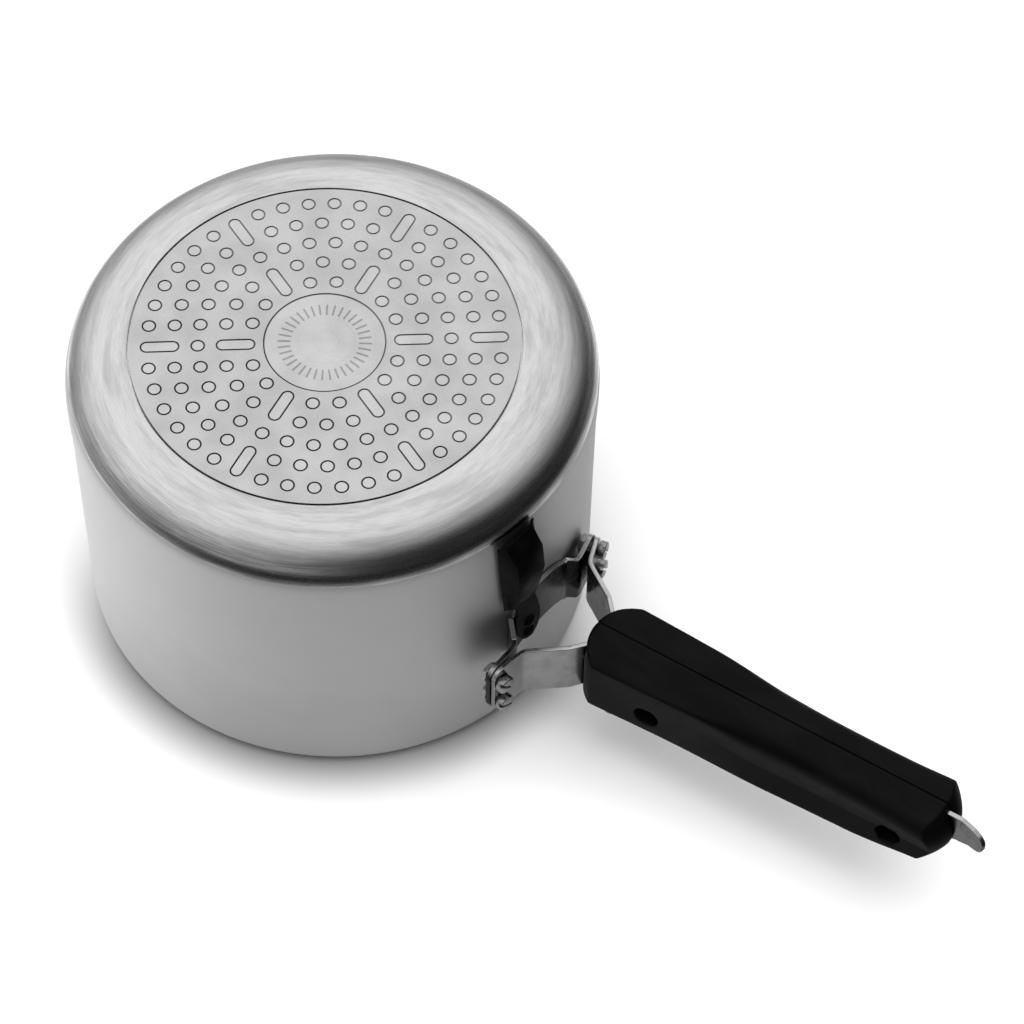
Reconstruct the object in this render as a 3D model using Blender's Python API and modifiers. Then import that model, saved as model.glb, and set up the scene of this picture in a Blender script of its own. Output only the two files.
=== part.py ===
"""Stovetop pressure cooker body with its induction base, long handle and bracket.

The cooker stands upside down, base plate up.  Z = 0 is the outer face of the base plate, the
pot's axis is the Z axis, and the handle points along +X.  Lengths are in metres.
"""
import math

import bmesh
import bpy
from mathutils import Matrix, Vector

MM = 0.001
GAP = 0.3 * MM                      # clearance kept between two pieces that touch

# Pot: a spun and pressed aluminium shell
BULGE_RADIUS = 94.8 * MM            # widest radius, at the foot of the rounded base
WALL_RADIUS_BASE = 94.3 * MM        # wall just below the rounded base
WALL_RADIUS_RIM = 93.8 * MM         # wall just above the rim
POT_HEIGHT = 131.0 * MM
BASE_FLAT_RADIUS = 72.0 * MM        # flat of the base, outside it the base rounds over
BULGE_DEPTH = 18.7 * MM             # height of the rounded base
BULGE_POWER = 2.5                   # superellipse exponent of the rounded base
WALL_THICKNESS = 3.2 * MM
BASE_THICKNESS = 6.5 * MM
STEP_DEPTH = 1.5 * MM               # from the rounded base in to the wall
FLOOR_ROUND = 16.0 * MM             # inside, between the floor and the wall
RIM_ROUND = 6.5 * MM                # outer rounding where the wall turns in to the mouth
MOUTH_RADIUS = 80.0 * MM
POT_STEPS = 72

# Induction plate pressed into the base, a little off the pot's axis
PLATE_RADIUS = 69.0 * MM
PLATE_THICKNESS = 1.2 * MM
PLATE_CENTRE = (-2.1 * MM, -1.2 * MM)
PLATE_STEPS = 72

# Bracket: a saddle strap on the pot wall and a yoke of two straps that runs into the handle
HANDLE_LINE_Y = -11.5 * MM          # the handle's centre plane stands beside the pot's axis
WALL_AT_BRACKET = WALL_RADIUS_RIM + 0.25 * MM
SADDLE_ANGLE = math.radians(-7.0)   # where the saddle meets the wall, seen from the pot's axis
STRAP_TOP = -72.0 * MM
STRAP_HEIGHT = 24.0 * MM
STRAP_BOTTOM = STRAP_TOP - STRAP_HEIGHT
STRAP_THICKNESS = 1.8 * MM
EAR_HALF_SPAN = 36.5 * MM           # half the distance across the ears' outer ends
EAR_CORNER = 5.0 * MM
SADDLE_EAR_X = 95.5 * MM            # saddle ear's outer end, on the strap's centre plane
SADDLE_KNEE = (97.5 * MM, 21.8 * MM)
SADDLE_ARC_HALF = math.radians(9.5)
SADDLE_ARC_STEPS = 8
SADDLE_RISE = 12.0 * MM             # the saddle arches up between its ears
SADDLE_ARCH_HALF = math.radians(12.0)
EAR_SHIFT = -1.0 * MM               # the ears stand a little to the left of the handle's line
SADDLE_FOLD_RADIUS = 5.0 * MM
YOKE_FOLD_RADIUS = 6.0 * MM
FOLD_STEPS = 3
YOKE_EAR_X = SADDLE_EAR_X + STRAP_THICKNESS + GAP
YOKE_BEND = (101.6 * MM, 22.8 * MM)
YOKE_BOW = (115.0 * MM, 13.4 * MM)
YOKE_ROOT = (120.3 * MM, 7.4 * MM)
CORE_START_X = 125.0 * MM
CORE_NARROW_X = 131.0 * MM
CORE_END_X = 252.0 * MM
CORE_Y = 1.25 * MM                  # centre plane of each core strap, from the handle's plane
CORE_EASE = 0.5 * MM                # the strip is this much narrower where the core starts
CORE_TOP = -73.0 * MM
CORE_BOTTOM = -93.0 * MM
TAB_POINTS = (                      # catch tab beyond the handle: x, y, top and bottom
    (257.0 * MM, -1.25 * MM, -71.5 * MM, -88.0 * MM),
    (266.0 * MM, -1.6 * MM, -70.8 * MM, -84.5 * MM),
    (271.0 * MM, -2.6 * MM, -71.6 * MM, -82.5 * MM),
    (276.5 * MM, -4.4 * MM, -73.2 * MM, -81.0 * MM),
)
TAB_CORNER = 3.0 * MM

# Screws and nuts that clamp the ears
SCREW_Y = 33.0 * MM
SCREW_Z = (-78.0 * MM, -90.0 * MM)
SCREW_SWEEP = math.radians(12.0)    # the ears are swept back, and the screws with them
SCREW_RADIUS = 1.9 * MM
SCREW_HOLE_RADIUS = 2.3 * MM
SCREW_HEAD_RADIUS = 3.5 * MM
SCREW_HEAD_HEIGHT = 2.7 * MM
SCREW_HEAD_GAP = 0.6 * MM           # mean gap under a head or nut that sits on a swept ear
SLOT_WIDTH = 1.2 * MM
SLOT_DEPTH = 1.3 * MM
SLOT_TURN = math.radians(35.0)
SCREW_HEAD_EDGE = 0.4 * MM
NUT_RADIUS = 4.04 * MM              # corner radius of a 7 mm hexagon
NUT_HEIGHT = 2.2 * MM

# Rivets that hold the guard's tongue and the saddle to the pot wall
RIVET_Z = (-75.4 * MM, -82.0 * MM)
RIVET_RADIUS = 1.5 * MM
RIVET_HOLE_RADIUS = 1.8 * MM
RIVET_HEAD_RADIUS = 2.6 * MM
RIVET_HEAD_HEIGHT = 1.3 * MM
RIVET_TAIL_RADIUS = 3.2 * MM
RIVET_TAIL_HEIGHT = 1.2 * MM

# Flame guard: a folded sheet hood above the bracket, which leans a little to one side
GUARD_ANGLE = math.radians(-12.0)   # where it meets the wall, seen from the pot's axis
GUARD_LEAN = math.radians(6.0)
GUARD_PIVOT_Z = -79.0 * MM
GUARD_THICKNESS = 1.0 * MM
GUARD_STAND_OFF = 2.9 * MM          # tongue's centre plane from the pot wall
GUARD_HALF_FACE = 6.2 * MM
GUARD_HALF_WIDTH = 8.8 * MM
GUARD_FOLDS = (                     # height, front face off the wall, side edge off the wall
    (-14.5 * MM, 3.0 * MM, 2.0 * MM),
    (-23.0 * MM, 7.6 * MM, 1.6 * MM),
    (-37.0 * MM, 7.6 * MM, 1.4 * MM),
    (-58.0 * MM, 2.9 * MM, 1.4 * MM),
)
TONGUE_OUTLINE = (                  # height, half width
    (-60.5 * MM, 4.7 * MM),
    (-67.0 * MM, 5.7 * MM),
    (-73.0 * MM, 6.2 * MM),
    (-79.0 * MM, 5.7 * MM),
    (-83.5 * MM, 3.8 * MM),
    (-86.0 * MM, 1.4 * MM),
)

# Handle: two phenolic half shells, split along the handle's centre plane
HANDLE_SEAM_GAP = 0.15 * MM         # half the gap between the two shells
HANDLE_TOP = -68.2 * MM
HANDLE_BOTTOM = -98.5 * MM
HANDLE_FRONT_X = 117.0 * MM
HANDLE_END_X = 264.6 * MM
HANDLE_CROWN = 4.0 * MM             # the shoulders lie this much below the seam
HANDLE_CROWN_POWER = 1.7
HANDLE_TIP_RISE = 4.0 * MM          # the underside rises towards the far end
TIP_RISE_X = 228.0 * MM
HANDLE_PLAN = (                     # x, half width at the shoulder, half width at the foot
    (108.0 * MM, 15.8 * MM, 15.6 * MM),
    (124.0 * MM, 15.6 * MM, 15.3 * MM),
    (158.0 * MM, 14.5 * MM, 13.9 * MM),
    (190.0 * MM, 13.0 * MM, 13.6 * MM),
    (210.0 * MM, 12.3 * MM, 12.8 * MM),
    (240.0 * MM, 12.5 * MM, 11.7 * MM),
    (256.0 * MM, 13.4 * MM, 11.2 * MM),
    (272.0 * MM, 13.8 * MM, 10.8 * MM),
)
GRIP_START_X = 160.0 * MM           # the hollow of the grip opens from here
GRIP_FULL_X = 192.0 * MM
GRIP_HEIGHT = -86.0 * MM            # lower edge of the hollow
GRIP_DEPTH = 1.1 * MM
CREASE_DROP = 8.0 * MM              # where the hollow closes, the crease lies this low
SHOULDER_ROUND = 0.8 * MM
GRIP_SHOULDER_ROUND = 3.6 * MM      # added where the grip is hollow
HEEL_ROUND = 1.3 * MM
FRONT_ARC_RADIUS = 17.5 * MM        # the pot end is an upright arc
FRONT_SKEW = 0.12                   # and stands askew, as the saddle does
END_ARC_RADIUS = 13.0 * MM          # the far end is a dome
END_DOME_RADIUS = 17.0 * MM
END_DOME_Z = -82.0 * MM
ARC_STEPS = 9
ARC_SHARE = 0.98                    # share of the front arc's radius that its cutter covers
DOME_STEPS = 7
DOME_REACH = 16.0 * MM
HANDLE_START_X = 110.0 * MM         # the shells are lofted past both ends, then cut
HANDLE_FAR_X = 270.0 * MM
HANDLE_STATIONS = 16
POCKET_CLEARANCE = 0.7 * MM         # round the yoke arms in the mouth at the pot end
MOUTH_HALF = 22.4 * MM              # half width of that mouth's cutter in front of the shells
POCKET_FLARE = 0.5 * MM
TAB_MOUTH_TOP = -70.0 * MM
POCKET_Y = 2.6 * MM                 # depth of the core pocket in each shell

# Bolts through the handle: the front one has its head on the -Y side, the rear one its nut
BOLT_X = (147.5 * MM, 243.5 * MM)
BOLT_Z = -88.5 * MM
BOLT_RADIUS = 2.4 * MM
BOLT_HOLE_RADIUS = 2.8 * MM
BOLT_HEAD_RADIUS = 4.2 * MM
BOLT_HEAD_HEIGHT = 2.4 * MM
BOLT_HEAD_EDGE = 0.6 * MM
BOLT_NUT_RADIUS = 4.6 * MM
BOLT_NUT_HEIGHT = 3.2 * MM
BOLT_SEAT_Y = 4.4 * MM              # depth of the pocket floors, from the handle's plane
ROUND_POCKET_RADIUS = 4.7 * MM
HEX_POCKET_RADIUS = 5.1 * MM

# Domed rest studs under the pot end of the handle
STUD_POSITION = (131.5 * MM, 10.0 * MM)
STUD_SHANK_RADIUS = 1.5 * MM
STUD_HEAD_RADIUS = 4.0 * MM
STUD_HEAD_HEIGHT = 4.2 * MM
STUD_SHANK_LENGTH = 12.0 * MM

ROUND_STEPS = 24
SMALL_STEPS = 16
CUT_REACH = 20.0 * MM               # how far a cutter runs through or out of a piece
PAST = 1.0 * MM                     # how far a cutter starts or ends past a face
SHARP_ANGLE = math.radians(38.0)
STRAIGHT_ANGLE = math.radians(3.0)
HEXAGON = 6
COLLECTION = "pressure_cooker"
Y_AXIS = Vector((0, 1, 0))
Z_AXIS = Vector((0, 0, 1))


# ---------------------------------------------------------------- scene and helpers

def clear_scene():
    for item in list(bpy.data.objects):
        bpy.data.objects.remove(item, do_unlink=True)


def make_collection(name):
    group = bpy.data.collections.new(name)
    bpy.context.scene.collection.children.link(group)
    return group


def make_material(name, colour, roughness, metallic):
    material = bpy.data.materials.new(name)
    material.use_nodes = True
    shader = material.node_tree.nodes["Principled BSDF"]
    shader.inputs["Base Color"].default_value = (*colour, 1.0)
    shader.inputs["Roughness"].default_value = roughness
    shader.inputs["Metallic"].default_value = metallic
    return material


def add_object(name, bm, group, material=None):
    """Put a bmesh into a named object and give it the part's material."""
    bmesh.ops.recalc_face_normals(bm, faces=bm.faces)
    mesh = bpy.data.meshes.new(name)
    bm.to_mesh(mesh)
    bm.free()
    piece = bpy.data.objects.new(name, mesh)
    group.objects.link(piece)
    if material:
        mesh.materials.append(material)
        mesh.shade_smooth()
        mesh.set_sharp_from_angle(angle=SHARP_ANGLE)
    return piece


def rotation_to(axis):
    return Z_AXIS.rotation_difference(Vector(axis)).to_matrix().to_4x4()


def add_cylinder(bm, radius, start, axis, length, steps=ROUND_STEPS):
    """A cylinder, or a cone, from the start point along the axis."""
    centre = Vector(start) + Vector(axis).normalized() * length / 2
    place = Matrix.Translation(centre) @ rotation_to(axis)
    bmesh.ops.create_cone(bm, cap_ends=True, segments=steps, radius1=radius,
                          radius2=radius,
                          depth=length, matrix=place)


def cylinder_cutter(name, radius, start, axis, length, steps=ROUND_STEPS):
    bm = bmesh.new()
    add_cylinder(bm, radius, start, axis, length, steps)
    return as_cutter(add_object(name, bm, CUTTERS))


def as_cutter(piece):
    piece.hide_render = True
    piece.display_type = "WIRE"
    return piece


def add_boolean(piece, other, operation="DIFFERENCE"):
    cut = piece.modifiers.new(f"{operation.lower()}_{other.name}", "BOOLEAN")
    cut.operation = operation
    cut.solver = "EXACT"
    cut.object = other


def turned(name, profile, place, group, material=None, steps=ROUND_STEPS):
    """Turn a profile of (radius, height) about its own axis; it runs top to bottom outside."""
    bm = bmesh.new()
    points = [bm.verts.new((radius, 0, height)) for radius, height in profile]
    for first, second in zip(points, points[1:]):
        bm.edges.new((first, second))
    mesh = bpy.data.meshes.new(name)
    bm.to_mesh(mesh)
    bm.free()
    piece = bpy.data.objects.new(name, mesh)
    group.objects.link(piece)
    piece.matrix_world = place
    screw = piece.modifiers.new("turn", "SCREW")
    screw.axis = "Z"
    screw.steps = steps
    screw.render_steps = steps
    screw.use_merge_vertices = True
    screw.merge_threshold = 0.00001
    screw.use_smooth_shade = True
    if material:
        mesh.materials.append(material)
    return piece


def arc(centre, radii, start, end, count):
    """Points on an ellipse in a plane, angles in degrees."""
    angles = [math.radians(start + (end - start) * i / count) for i in range(count + 1)]
    return [(centre[0] + radii[0] * math.cos(a), centre[1] + radii[1] * math.sin(a))
            for a in angles]


# ---------------------------------------------------------------- pot and plate

def bulge_outline(width, depth, top, inner_radius, count):
    """The rounded base: a superellipse quarter from the flat down to the wall."""
    points = []
    for i in range(count + 1):
        angle = math.pi / 2 * (1 - i / count)
        across = math.cos(angle) ** (2 / BULGE_POWER) if i else 0.0
        down = 1 - math.sin(angle) ** (2 / BULGE_POWER) if i < count else 1.0
        points.append((inner_radius + width * across, top - depth * down))
    return points


def pot_profile():
    """Closed section of the pot from the axis, round the outside and back along the inside."""
    outer = bulge_outline(BULGE_RADIUS - BASE_FLAT_RADIUS, BULGE_DEPTH, 0.0,
                          BASE_FLAT_RADIUS, 9)
    outer.append((WALL_RADIUS_BASE, -BULGE_DEPTH - STEP_DEPTH))
    rim_centre = (WALL_RADIUS_RIM - RIM_ROUND, -POT_HEIGHT + RIM_ROUND)
    outer += arc(rim_centre, (RIM_ROUND, RIM_ROUND), 0, -90, 6)
    lip_inner = -POT_HEIGHT + WALL_THICKNESS
    inner_round = RIM_ROUND - WALL_THICKNESS
    mouth = [(MOUTH_RADIUS, -POT_HEIGHT), (MOUTH_RADIUS, lip_inner)]
    inner = arc(rim_centre, (inner_round, inner_round), -90, 0, 3)
    inside_top = -BASE_THICKNESS
    inside_radius = WALL_RADIUS_BASE - WALL_THICKNESS
    inner += arc((inside_radius - FLOOR_ROUND, inside_top - FLOOR_ROUND),
                 (FLOOR_ROUND, FLOOR_ROUND), 0, 90, 6)
    return [(0.0, 0.0)] + outer + mouth + inner + [(0.0, inside_top)]


def make_pot(group, material):
    pot = turned("pot_body", pot_profile(), Matrix.Identity(4), group, material, POT_STEPS)
    recess = cylinder_cutter("plate_recess", PLATE_RADIUS + GAP,
                             (*PLATE_CENTRE, -PLATE_THICKNESS - GAP), Z_AXIS, 10 * MM,
                             PLATE_STEPS)
    add_boolean(pot, recess)
    return pot


def make_plate(group, material):
    bm = bmesh.new()
    add_cylinder(bm, PLATE_RADIUS, (*PLATE_CENTRE, -PLATE_THICKNESS), Z_AXIS,
                 PLATE_THICKNESS, PLATE_STEPS)
    return add_object("induction_plate", bm, group, material)


# ---------------------------------------------------------------- bracket straps

def fillet_path(points, radius, count=4):
    """Round the inner corners of a path; the other values of a point are blended along it."""
    path = [points[0]]
    for before, corner, after in zip(points, points[1:], points[2:]):
        here = Vector(corner[:2])
        to_before = Vector(before[:2]) - here
        to_after = Vector(after[:2]) - here
        turn = math.pi - to_before.angle(to_after)
        if turn < STRAIGHT_ANGLE:
            path.append(corner)
            continue
        reach = min(radius * math.tan(turn / 2), to_before.length * 0.45,
                    to_after.length * 0.45)
        start = here + to_before.normalized() * reach
        end = here + to_after.normalized() * reach
        for i in range(count + 1):
            t = i / count
            spot = start * (1 - t) ** 2 + here * 2 * t * (1 - t) + end * t ** 2
            path.append((spot.x, spot.y, *corner[2:]))
    path.append(points[-1])
    return path


def strap(name, path, corners, group, material):
    """A strip of sheet that follows a plan path; each path point has its top and bottom."""
    bm = bmesh.new()
    top = [bm.verts.new((x, y, high)) for x, y, high, low in path]
    bottom = [bm.verts.new((x, y, low)) for x, y, high, low in path]
    for i in range(len(path) - 1):
        bm.faces.new((top[i], top[i + 1], bottom[i + 1], bottom[i]))
    for index, radius in corners:
        bmesh.ops.bevel(bm, geom=[top[index], bottom[index]], offset=radius, segments=4,
                        profile=0.5, affect="VERTICES")
    piece = add_object(name, bm, group, material)
    sheet = piece.modifiers.new("sheet", "SOLIDIFY")
    sheet.thickness = STRAP_THICKNESS
    sheet.offset = 0.0
    sheet.use_even_offset = True
    return piece


def ear_holes(piece, sides):
    for side in sides:
        for number, height in enumerate(SCREW_Z, start=1):
            start, axis = screw_line(side, height)
            hole = cylinder_cutter(f"{piece.name}_hole_{side}_{number}", SCREW_HOLE_RADIUS,
                                   start - axis * CUT_REACH / 2, axis, CUT_REACH)
            add_boolean(piece, hole)


def screw_line(side, height):
    """A point on an ear screw's axis, midway between the ears, and its outward direction."""
    axis = Vector((math.cos(SCREW_SWEEP), side * math.sin(SCREW_SWEEP), 0))
    middle = (SADDLE_EAR_X + YOKE_EAR_X) / 2
    inset = EAR_HALF_SPAN - SCREW_Y
    point = Vector((middle + inset * math.tan(SCREW_SWEEP),
                    HANDLE_LINE_Y + EAR_SHIFT + side * SCREW_Y, height))
    return point, axis


def make_saddle(group, material):
    """The strap that hugs the pot wall and stands off it at both ears."""
    radius = WALL_AT_BRACKET + GAP + STRAP_THICKNESS / 2
    hug = []
    for i in range(SADDLE_ARC_STEPS + 1):
        turn = SADDLE_ARC_HALF * (2 * i / SADDLE_ARC_STEPS - 1)
        angle = SADDLE_ANGLE + turn
        rise = SADDLE_RISE * (1 - (turn / SADDLE_ARCH_HALF) ** 2)
        hug.append((radius * math.cos(angle), radius * math.sin(angle),
                    STRAP_TOP + rise, STRAP_BOTTOM + rise))
    knee_x, knee_y = SADDLE_KNEE
    left = [(SADDLE_EAR_X, HANDLE_LINE_Y + EAR_SHIFT - EAR_HALF_SPAN),
            (knee_x, HANDLE_LINE_Y - knee_y)]
    right = [(knee_x, HANDLE_LINE_Y + knee_y),
             (SADDLE_EAR_X, HANDLE_LINE_Y + EAR_SHIFT + EAR_HALF_SPAN)]
    left, right = ([(x, y, STRAP_TOP, STRAP_BOTTOM) for x, y in plan] for plan in (left, right))
    path = left + hug + right
    path = fillet_path(path, SADDLE_FOLD_RADIUS, FOLD_STEPS)
    saddle = strap("saddle_strap", path, [(0, EAR_CORNER), (-1, EAR_CORNER)], group, material)
    ear_holes(saddle, (-1, 1))
    rivet_holes(saddle)
    return saddle


def yoke_points(side):
    bend_x, bend_y = YOKE_BEND
    plan = [(YOKE_EAR_X, EAR_HALF_SPAN + side * EAR_SHIFT),
            (bend_x, bend_y + side * EAR_SHIFT / 2), YOKE_BOW, YOKE_ROOT]
    points = [(x, HANDLE_LINE_Y + side * y, STRAP_TOP, STRAP_BOTTOM) for x, y in plan]
    core_y = HANDLE_LINE_Y + side * CORE_Y
    points.append((CORE_START_X, core_y, STRAP_TOP - CORE_EASE, STRAP_BOTTOM + CORE_EASE))
    points.append((CORE_NARROW_X, core_y, CORE_TOP, CORE_BOTTOM))
    return points


def make_yoke(side, name, group, material):
    """One arm of the yoke, from its ear to the core strap inside the handle."""
    core_y = HANDLE_LINE_Y + side * CORE_Y
    points = yoke_points(side)
    points.append((CORE_END_X, core_y, CORE_TOP, CORE_BOTTOM))
    corners = [(0, EAR_CORNER)]
    if side < 0:
        points += [(x, HANDLE_LINE_Y + y, high, low) for x, y, high, low in TAB_POINTS]
        corners.append((-1, TAB_CORNER))
    yoke = strap(name, fillet_path(points, YOKE_FOLD_RADIUS, FOLD_STEPS), corners, group, material)
    ear_holes(yoke, (side,))
    for number, x in enumerate(BOLT_X, start=1):
        hole = cylinder_cutter(f"{name}_bolt_hole_{number}", BOLT_HOLE_RADIUS,
                               (x, HANDLE_LINE_Y - POCKET_Y, BOLT_Z), Y_AXIS, 2 * POCKET_Y)
        add_boolean(yoke, hole)
    return yoke


# ---------------------------------------------------------------- screws, nuts and rivets

def make_ear_screw(side, height, name, group, material):
    """A slotted cheese-head screw that clamps a yoke ear to a saddle ear."""
    point, axis = screw_line(side, height)
    seat = point + axis * (STRAP_THICKNESS + GAP / 2 + SCREW_HEAD_GAP)
    end = point - axis * (STRAP_THICKNESS + GAP / 2 + SCREW_HEAD_GAP + NUT_HEIGHT - GAP)
    bm = bmesh.new()
    add_cylinder(bm, SCREW_HEAD_RADIUS, seat, axis, SCREW_HEAD_HEIGHT)
    screw = add_object(name, bm, group, material)
    edge = screw.modifiers.new("head_edge", "BEVEL")
    edge.width = SCREW_HEAD_EDGE
    edge.segments = 2
    edge.angle_limit = SHARP_ANGLE
    shank = cylinder_cutter(f"{name}_shank", SCREW_RADIUS, end, axis,
                            (seat - end).length + SCREW_HEAD_HEIGHT / 2)
    add_boolean(screw, shank, "UNION")
    bm = bmesh.new()
    bmesh.ops.create_cube(bm, size=1.0)
    slot = as_cutter(add_object(f"{name}_slot", bm, CUTTERS))
    top = seat + axis * SCREW_HEAD_HEIGHT
    turn = Matrix.Rotation(SLOT_TURN, 4, "Z")
    slot.matrix_world = (Matrix.Translation(top) @ rotation_to(axis) @ turn
                         @ Matrix.Diagonal((CUT_REACH, SLOT_WIDTH, 2 * SLOT_DEPTH, 1)))
    add_boolean(screw, slot)
    return screw


def make_nut(name, start, axis, corner_radius, height, bore_radius, group, material):
    bm = bmesh.new()
    add_cylinder(bm, corner_radius, start, axis, height, HEXAGON)
    nut = add_object(name, bm, group, material)
    nut.data.shade_flat()
    bore = cylinder_cutter(f"{name}_bore", bore_radius, Vector(start) - Vector(axis) * height,
                           axis, 3 * height)
    add_boolean(nut, bore)
    return nut


def make_ear_nut(side, height, name, group, material):
    point, axis = screw_line(side, height)
    start = point - axis * (STRAP_THICKNESS + GAP / 2 + SCREW_HEAD_GAP + NUT_HEIGHT)
    return make_nut(name, start, axis, NUT_RADIUS, NUT_HEIGHT, SCREW_HOLE_RADIUS, group,
                    material)


def radial(angle):
    return Vector((math.cos(angle), math.sin(angle), 0))


def rivet_holes(piece):
    outward = radial(GUARD_ANGLE)
    for number, height in enumerate(RIVET_Z, start=1):
        start = outward * (WALL_RADIUS_RIM - CUT_REACH / 2) + Z_AXIS * height
        hole = cylinder_cutter(f"{piece.name}_rivet_hole_{number}", RIVET_HOLE_RADIUS, start,
                               outward, CUT_REACH, SMALL_STEPS)
        add_boolean(piece, hole)


def make_rivet(height, name, group, material):
    """A domed rivet through the guard's tongue, the saddle and the pot wall."""
    inside = WALL_RADIUS_RIM - WALL_THICKNESS - 2 * GAP
    outside = WALL_AT_BRACKET + GUARD_STAND_OFF + GUARD_THICKNESS / 2 + GAP
    dome = arc((0.0, outside), (RIVET_HEAD_RADIUS, RIVET_HEAD_HEIGHT), 90, 0, 4)
    dome[0] = (0.0, outside + RIVET_HEAD_HEIGHT)
    end = inside - RIVET_TAIL_HEIGHT
    tail = [(RIVET_RADIUS, outside), (RIVET_RADIUS, inside), (RIVET_TAIL_RADIUS, inside),
            (RIVET_HEAD_RADIUS, end), (0.0, end)]
    place = Matrix.Translation((0, 0, height)) @ rotation_to(radial(GUARD_ANGLE))
    return turned(name, dome + tail, place, group, material, SMALL_STEPS)


# ---------------------------------------------------------------- flame guard

def guard_row(bm, height, depths, halves):
    """Points of one row across the guard, given their depths off the axis and half widths."""
    outward = radial(GUARD_ANGLE)
    across = radial(GUARD_ANGLE + math.pi / 2)
    return [bm.verts.new(outward * depth + across * half + Z_AXIS * height)
            for depth, half in zip(depths, halves)]


def make_guard(group, material):
    """A folded hood whose middle face runs on as a round-ended tongue over the saddle."""
    bm = bmesh.new()
    rows = []
    for height, face, edge in GUARD_FOLDS:
        front = WALL_AT_BRACKET + face
        rim = math.sqrt((WALL_AT_BRACKET + edge) ** 2 - GUARD_HALF_WIDTH ** 2)
        rows.append(guard_row(bm, height, (rim, front, front, rim),
                              (-GUARD_HALF_WIDTH, -GUARD_HALF_FACE, GUARD_HALF_FACE,
                               GUARD_HALF_WIDTH)))
    for height, half in TONGUE_OUTLINE:
        front = WALL_AT_BRACKET + GUARD_STAND_OFF
        rows.append([None, *guard_row(bm, height, (front, front), (-half, half)), None])
    for upper, lower in zip(rows, rows[1:]):
        for i in range(3):
            corners = (upper[i], upper[i + 1], lower[i + 1], lower[i])
            if all(corners):
                bm.faces.new(corners)
    pivot = Matrix.Translation((0, 0, GUARD_PIVOT_Z))
    lean = Matrix.Rotation(GUARD_LEAN, 4, radial(GUARD_ANGLE))
    bm.transform(pivot @ lean @ pivot.inverted())
    guard = add_object("flame_guard", bm, group, material)
    sheet = guard.modifiers.new("sheet", "SOLIDIFY")
    sheet.thickness = GUARD_THICKNESS
    sheet.offset = 0.0
    sheet.use_even_offset = True
    rivet_holes(guard)
    return guard


# ---------------------------------------------------------------- handle

def smooth(t):
    t = min(max(t, 0.0), 1.0)
    return t * t * (3 - 2 * t)


def plan_value(x, column):
    """A smooth curve through a column of the handle's plan."""
    for before, after in zip(HANDLE_PLAN, HANDLE_PLAN[1:]):
        if x <= after[0]:
            break
    share = (x - before[0]) / (after[0] - before[0])
    return before[column] + (after[column] - before[column]) * smooth(share)


def handle_section(x):
    """Half section of the handle: (distance from the seam plane, height), seam to seam."""
    shoulder, foot = plan_value(x, 1), plan_value(x, 2)
    grip = smooth((x - GRIP_START_X) / (GRIP_FULL_X - GRIP_START_X))
    rise = HANDLE_TIP_RISE * smooth((x - TIP_RISE_X) / (HANDLE_END_X - TIP_RISE_X))
    bottom = HANDLE_BOTTOM + rise
    ledge = HANDLE_TOP - HANDLE_CROWN
    rounding = SHOULDER_ROUND + GRIP_SHOULDER_ROUND * grip
    points = [(HANDLE_SEAM_GAP, HANDLE_TOP)]
    for share in (0.4, 0.75, 1.0):
        y = (shoulder - rounding) * share
        drop = HANDLE_CROWN * (y / shoulder) ** HANDLE_CROWN_POWER
        points.append((y, HANDLE_TOP - drop))
    edge = points[-1]
    side = (shoulder - GRIP_DEPTH * grip / 3, ledge - rounding)
    for t in (0.35, 0.7):
        points.append(tuple(a * (1 - t) ** 2 + c * 2 * t * (1 - t) + b * t ** 2
                            for a, b, c in zip(edge, side, (shoulder, ledge))))
    points.append(side)
    crease_z = (ledge - CREASE_DROP) * (1 - grip) + GRIP_HEIGHT * grip
    drop = (ledge - crease_z) / (ledge - bottom)
    points.append((shoulder + (foot - shoulder) * drop - GRIP_DEPTH * grip, crease_z))
    points += arc((foot - HEEL_ROUND, bottom + HEEL_ROUND), (HEEL_ROUND, HEEL_ROUND), 0, -90, 2)
    points.append((HANDLE_SEAM_GAP, bottom))
    return points


def front_cutter(side):
    """What lies in front of the pot end, which is an upright arc."""
    far = FRONT_ARC_RADIUS * ARC_SHARE
    plan = [(HANDLE_START_X - PAST, far), (HANDLE_START_X - PAST, -PAST)]
    for i in range(ARC_STEPS + 1):
        y = -PAST + (far + PAST) * i / ARC_STEPS
        behind = FRONT_ARC_RADIUS - math.sqrt(FRONT_ARC_RADIUS ** 2 - y * y)
        plan.append((HANDLE_FRONT_X + behind + side * y * FRONT_SKEW, y))
    plan = [(x, HANDLE_LINE_Y + side * y) for x, y in plan]
    return plan_cutter(f"front_cut_{side}", plan, HANDLE_BOTTOM - PAST,
                       HANDLE_TOP + PAST)


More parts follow.
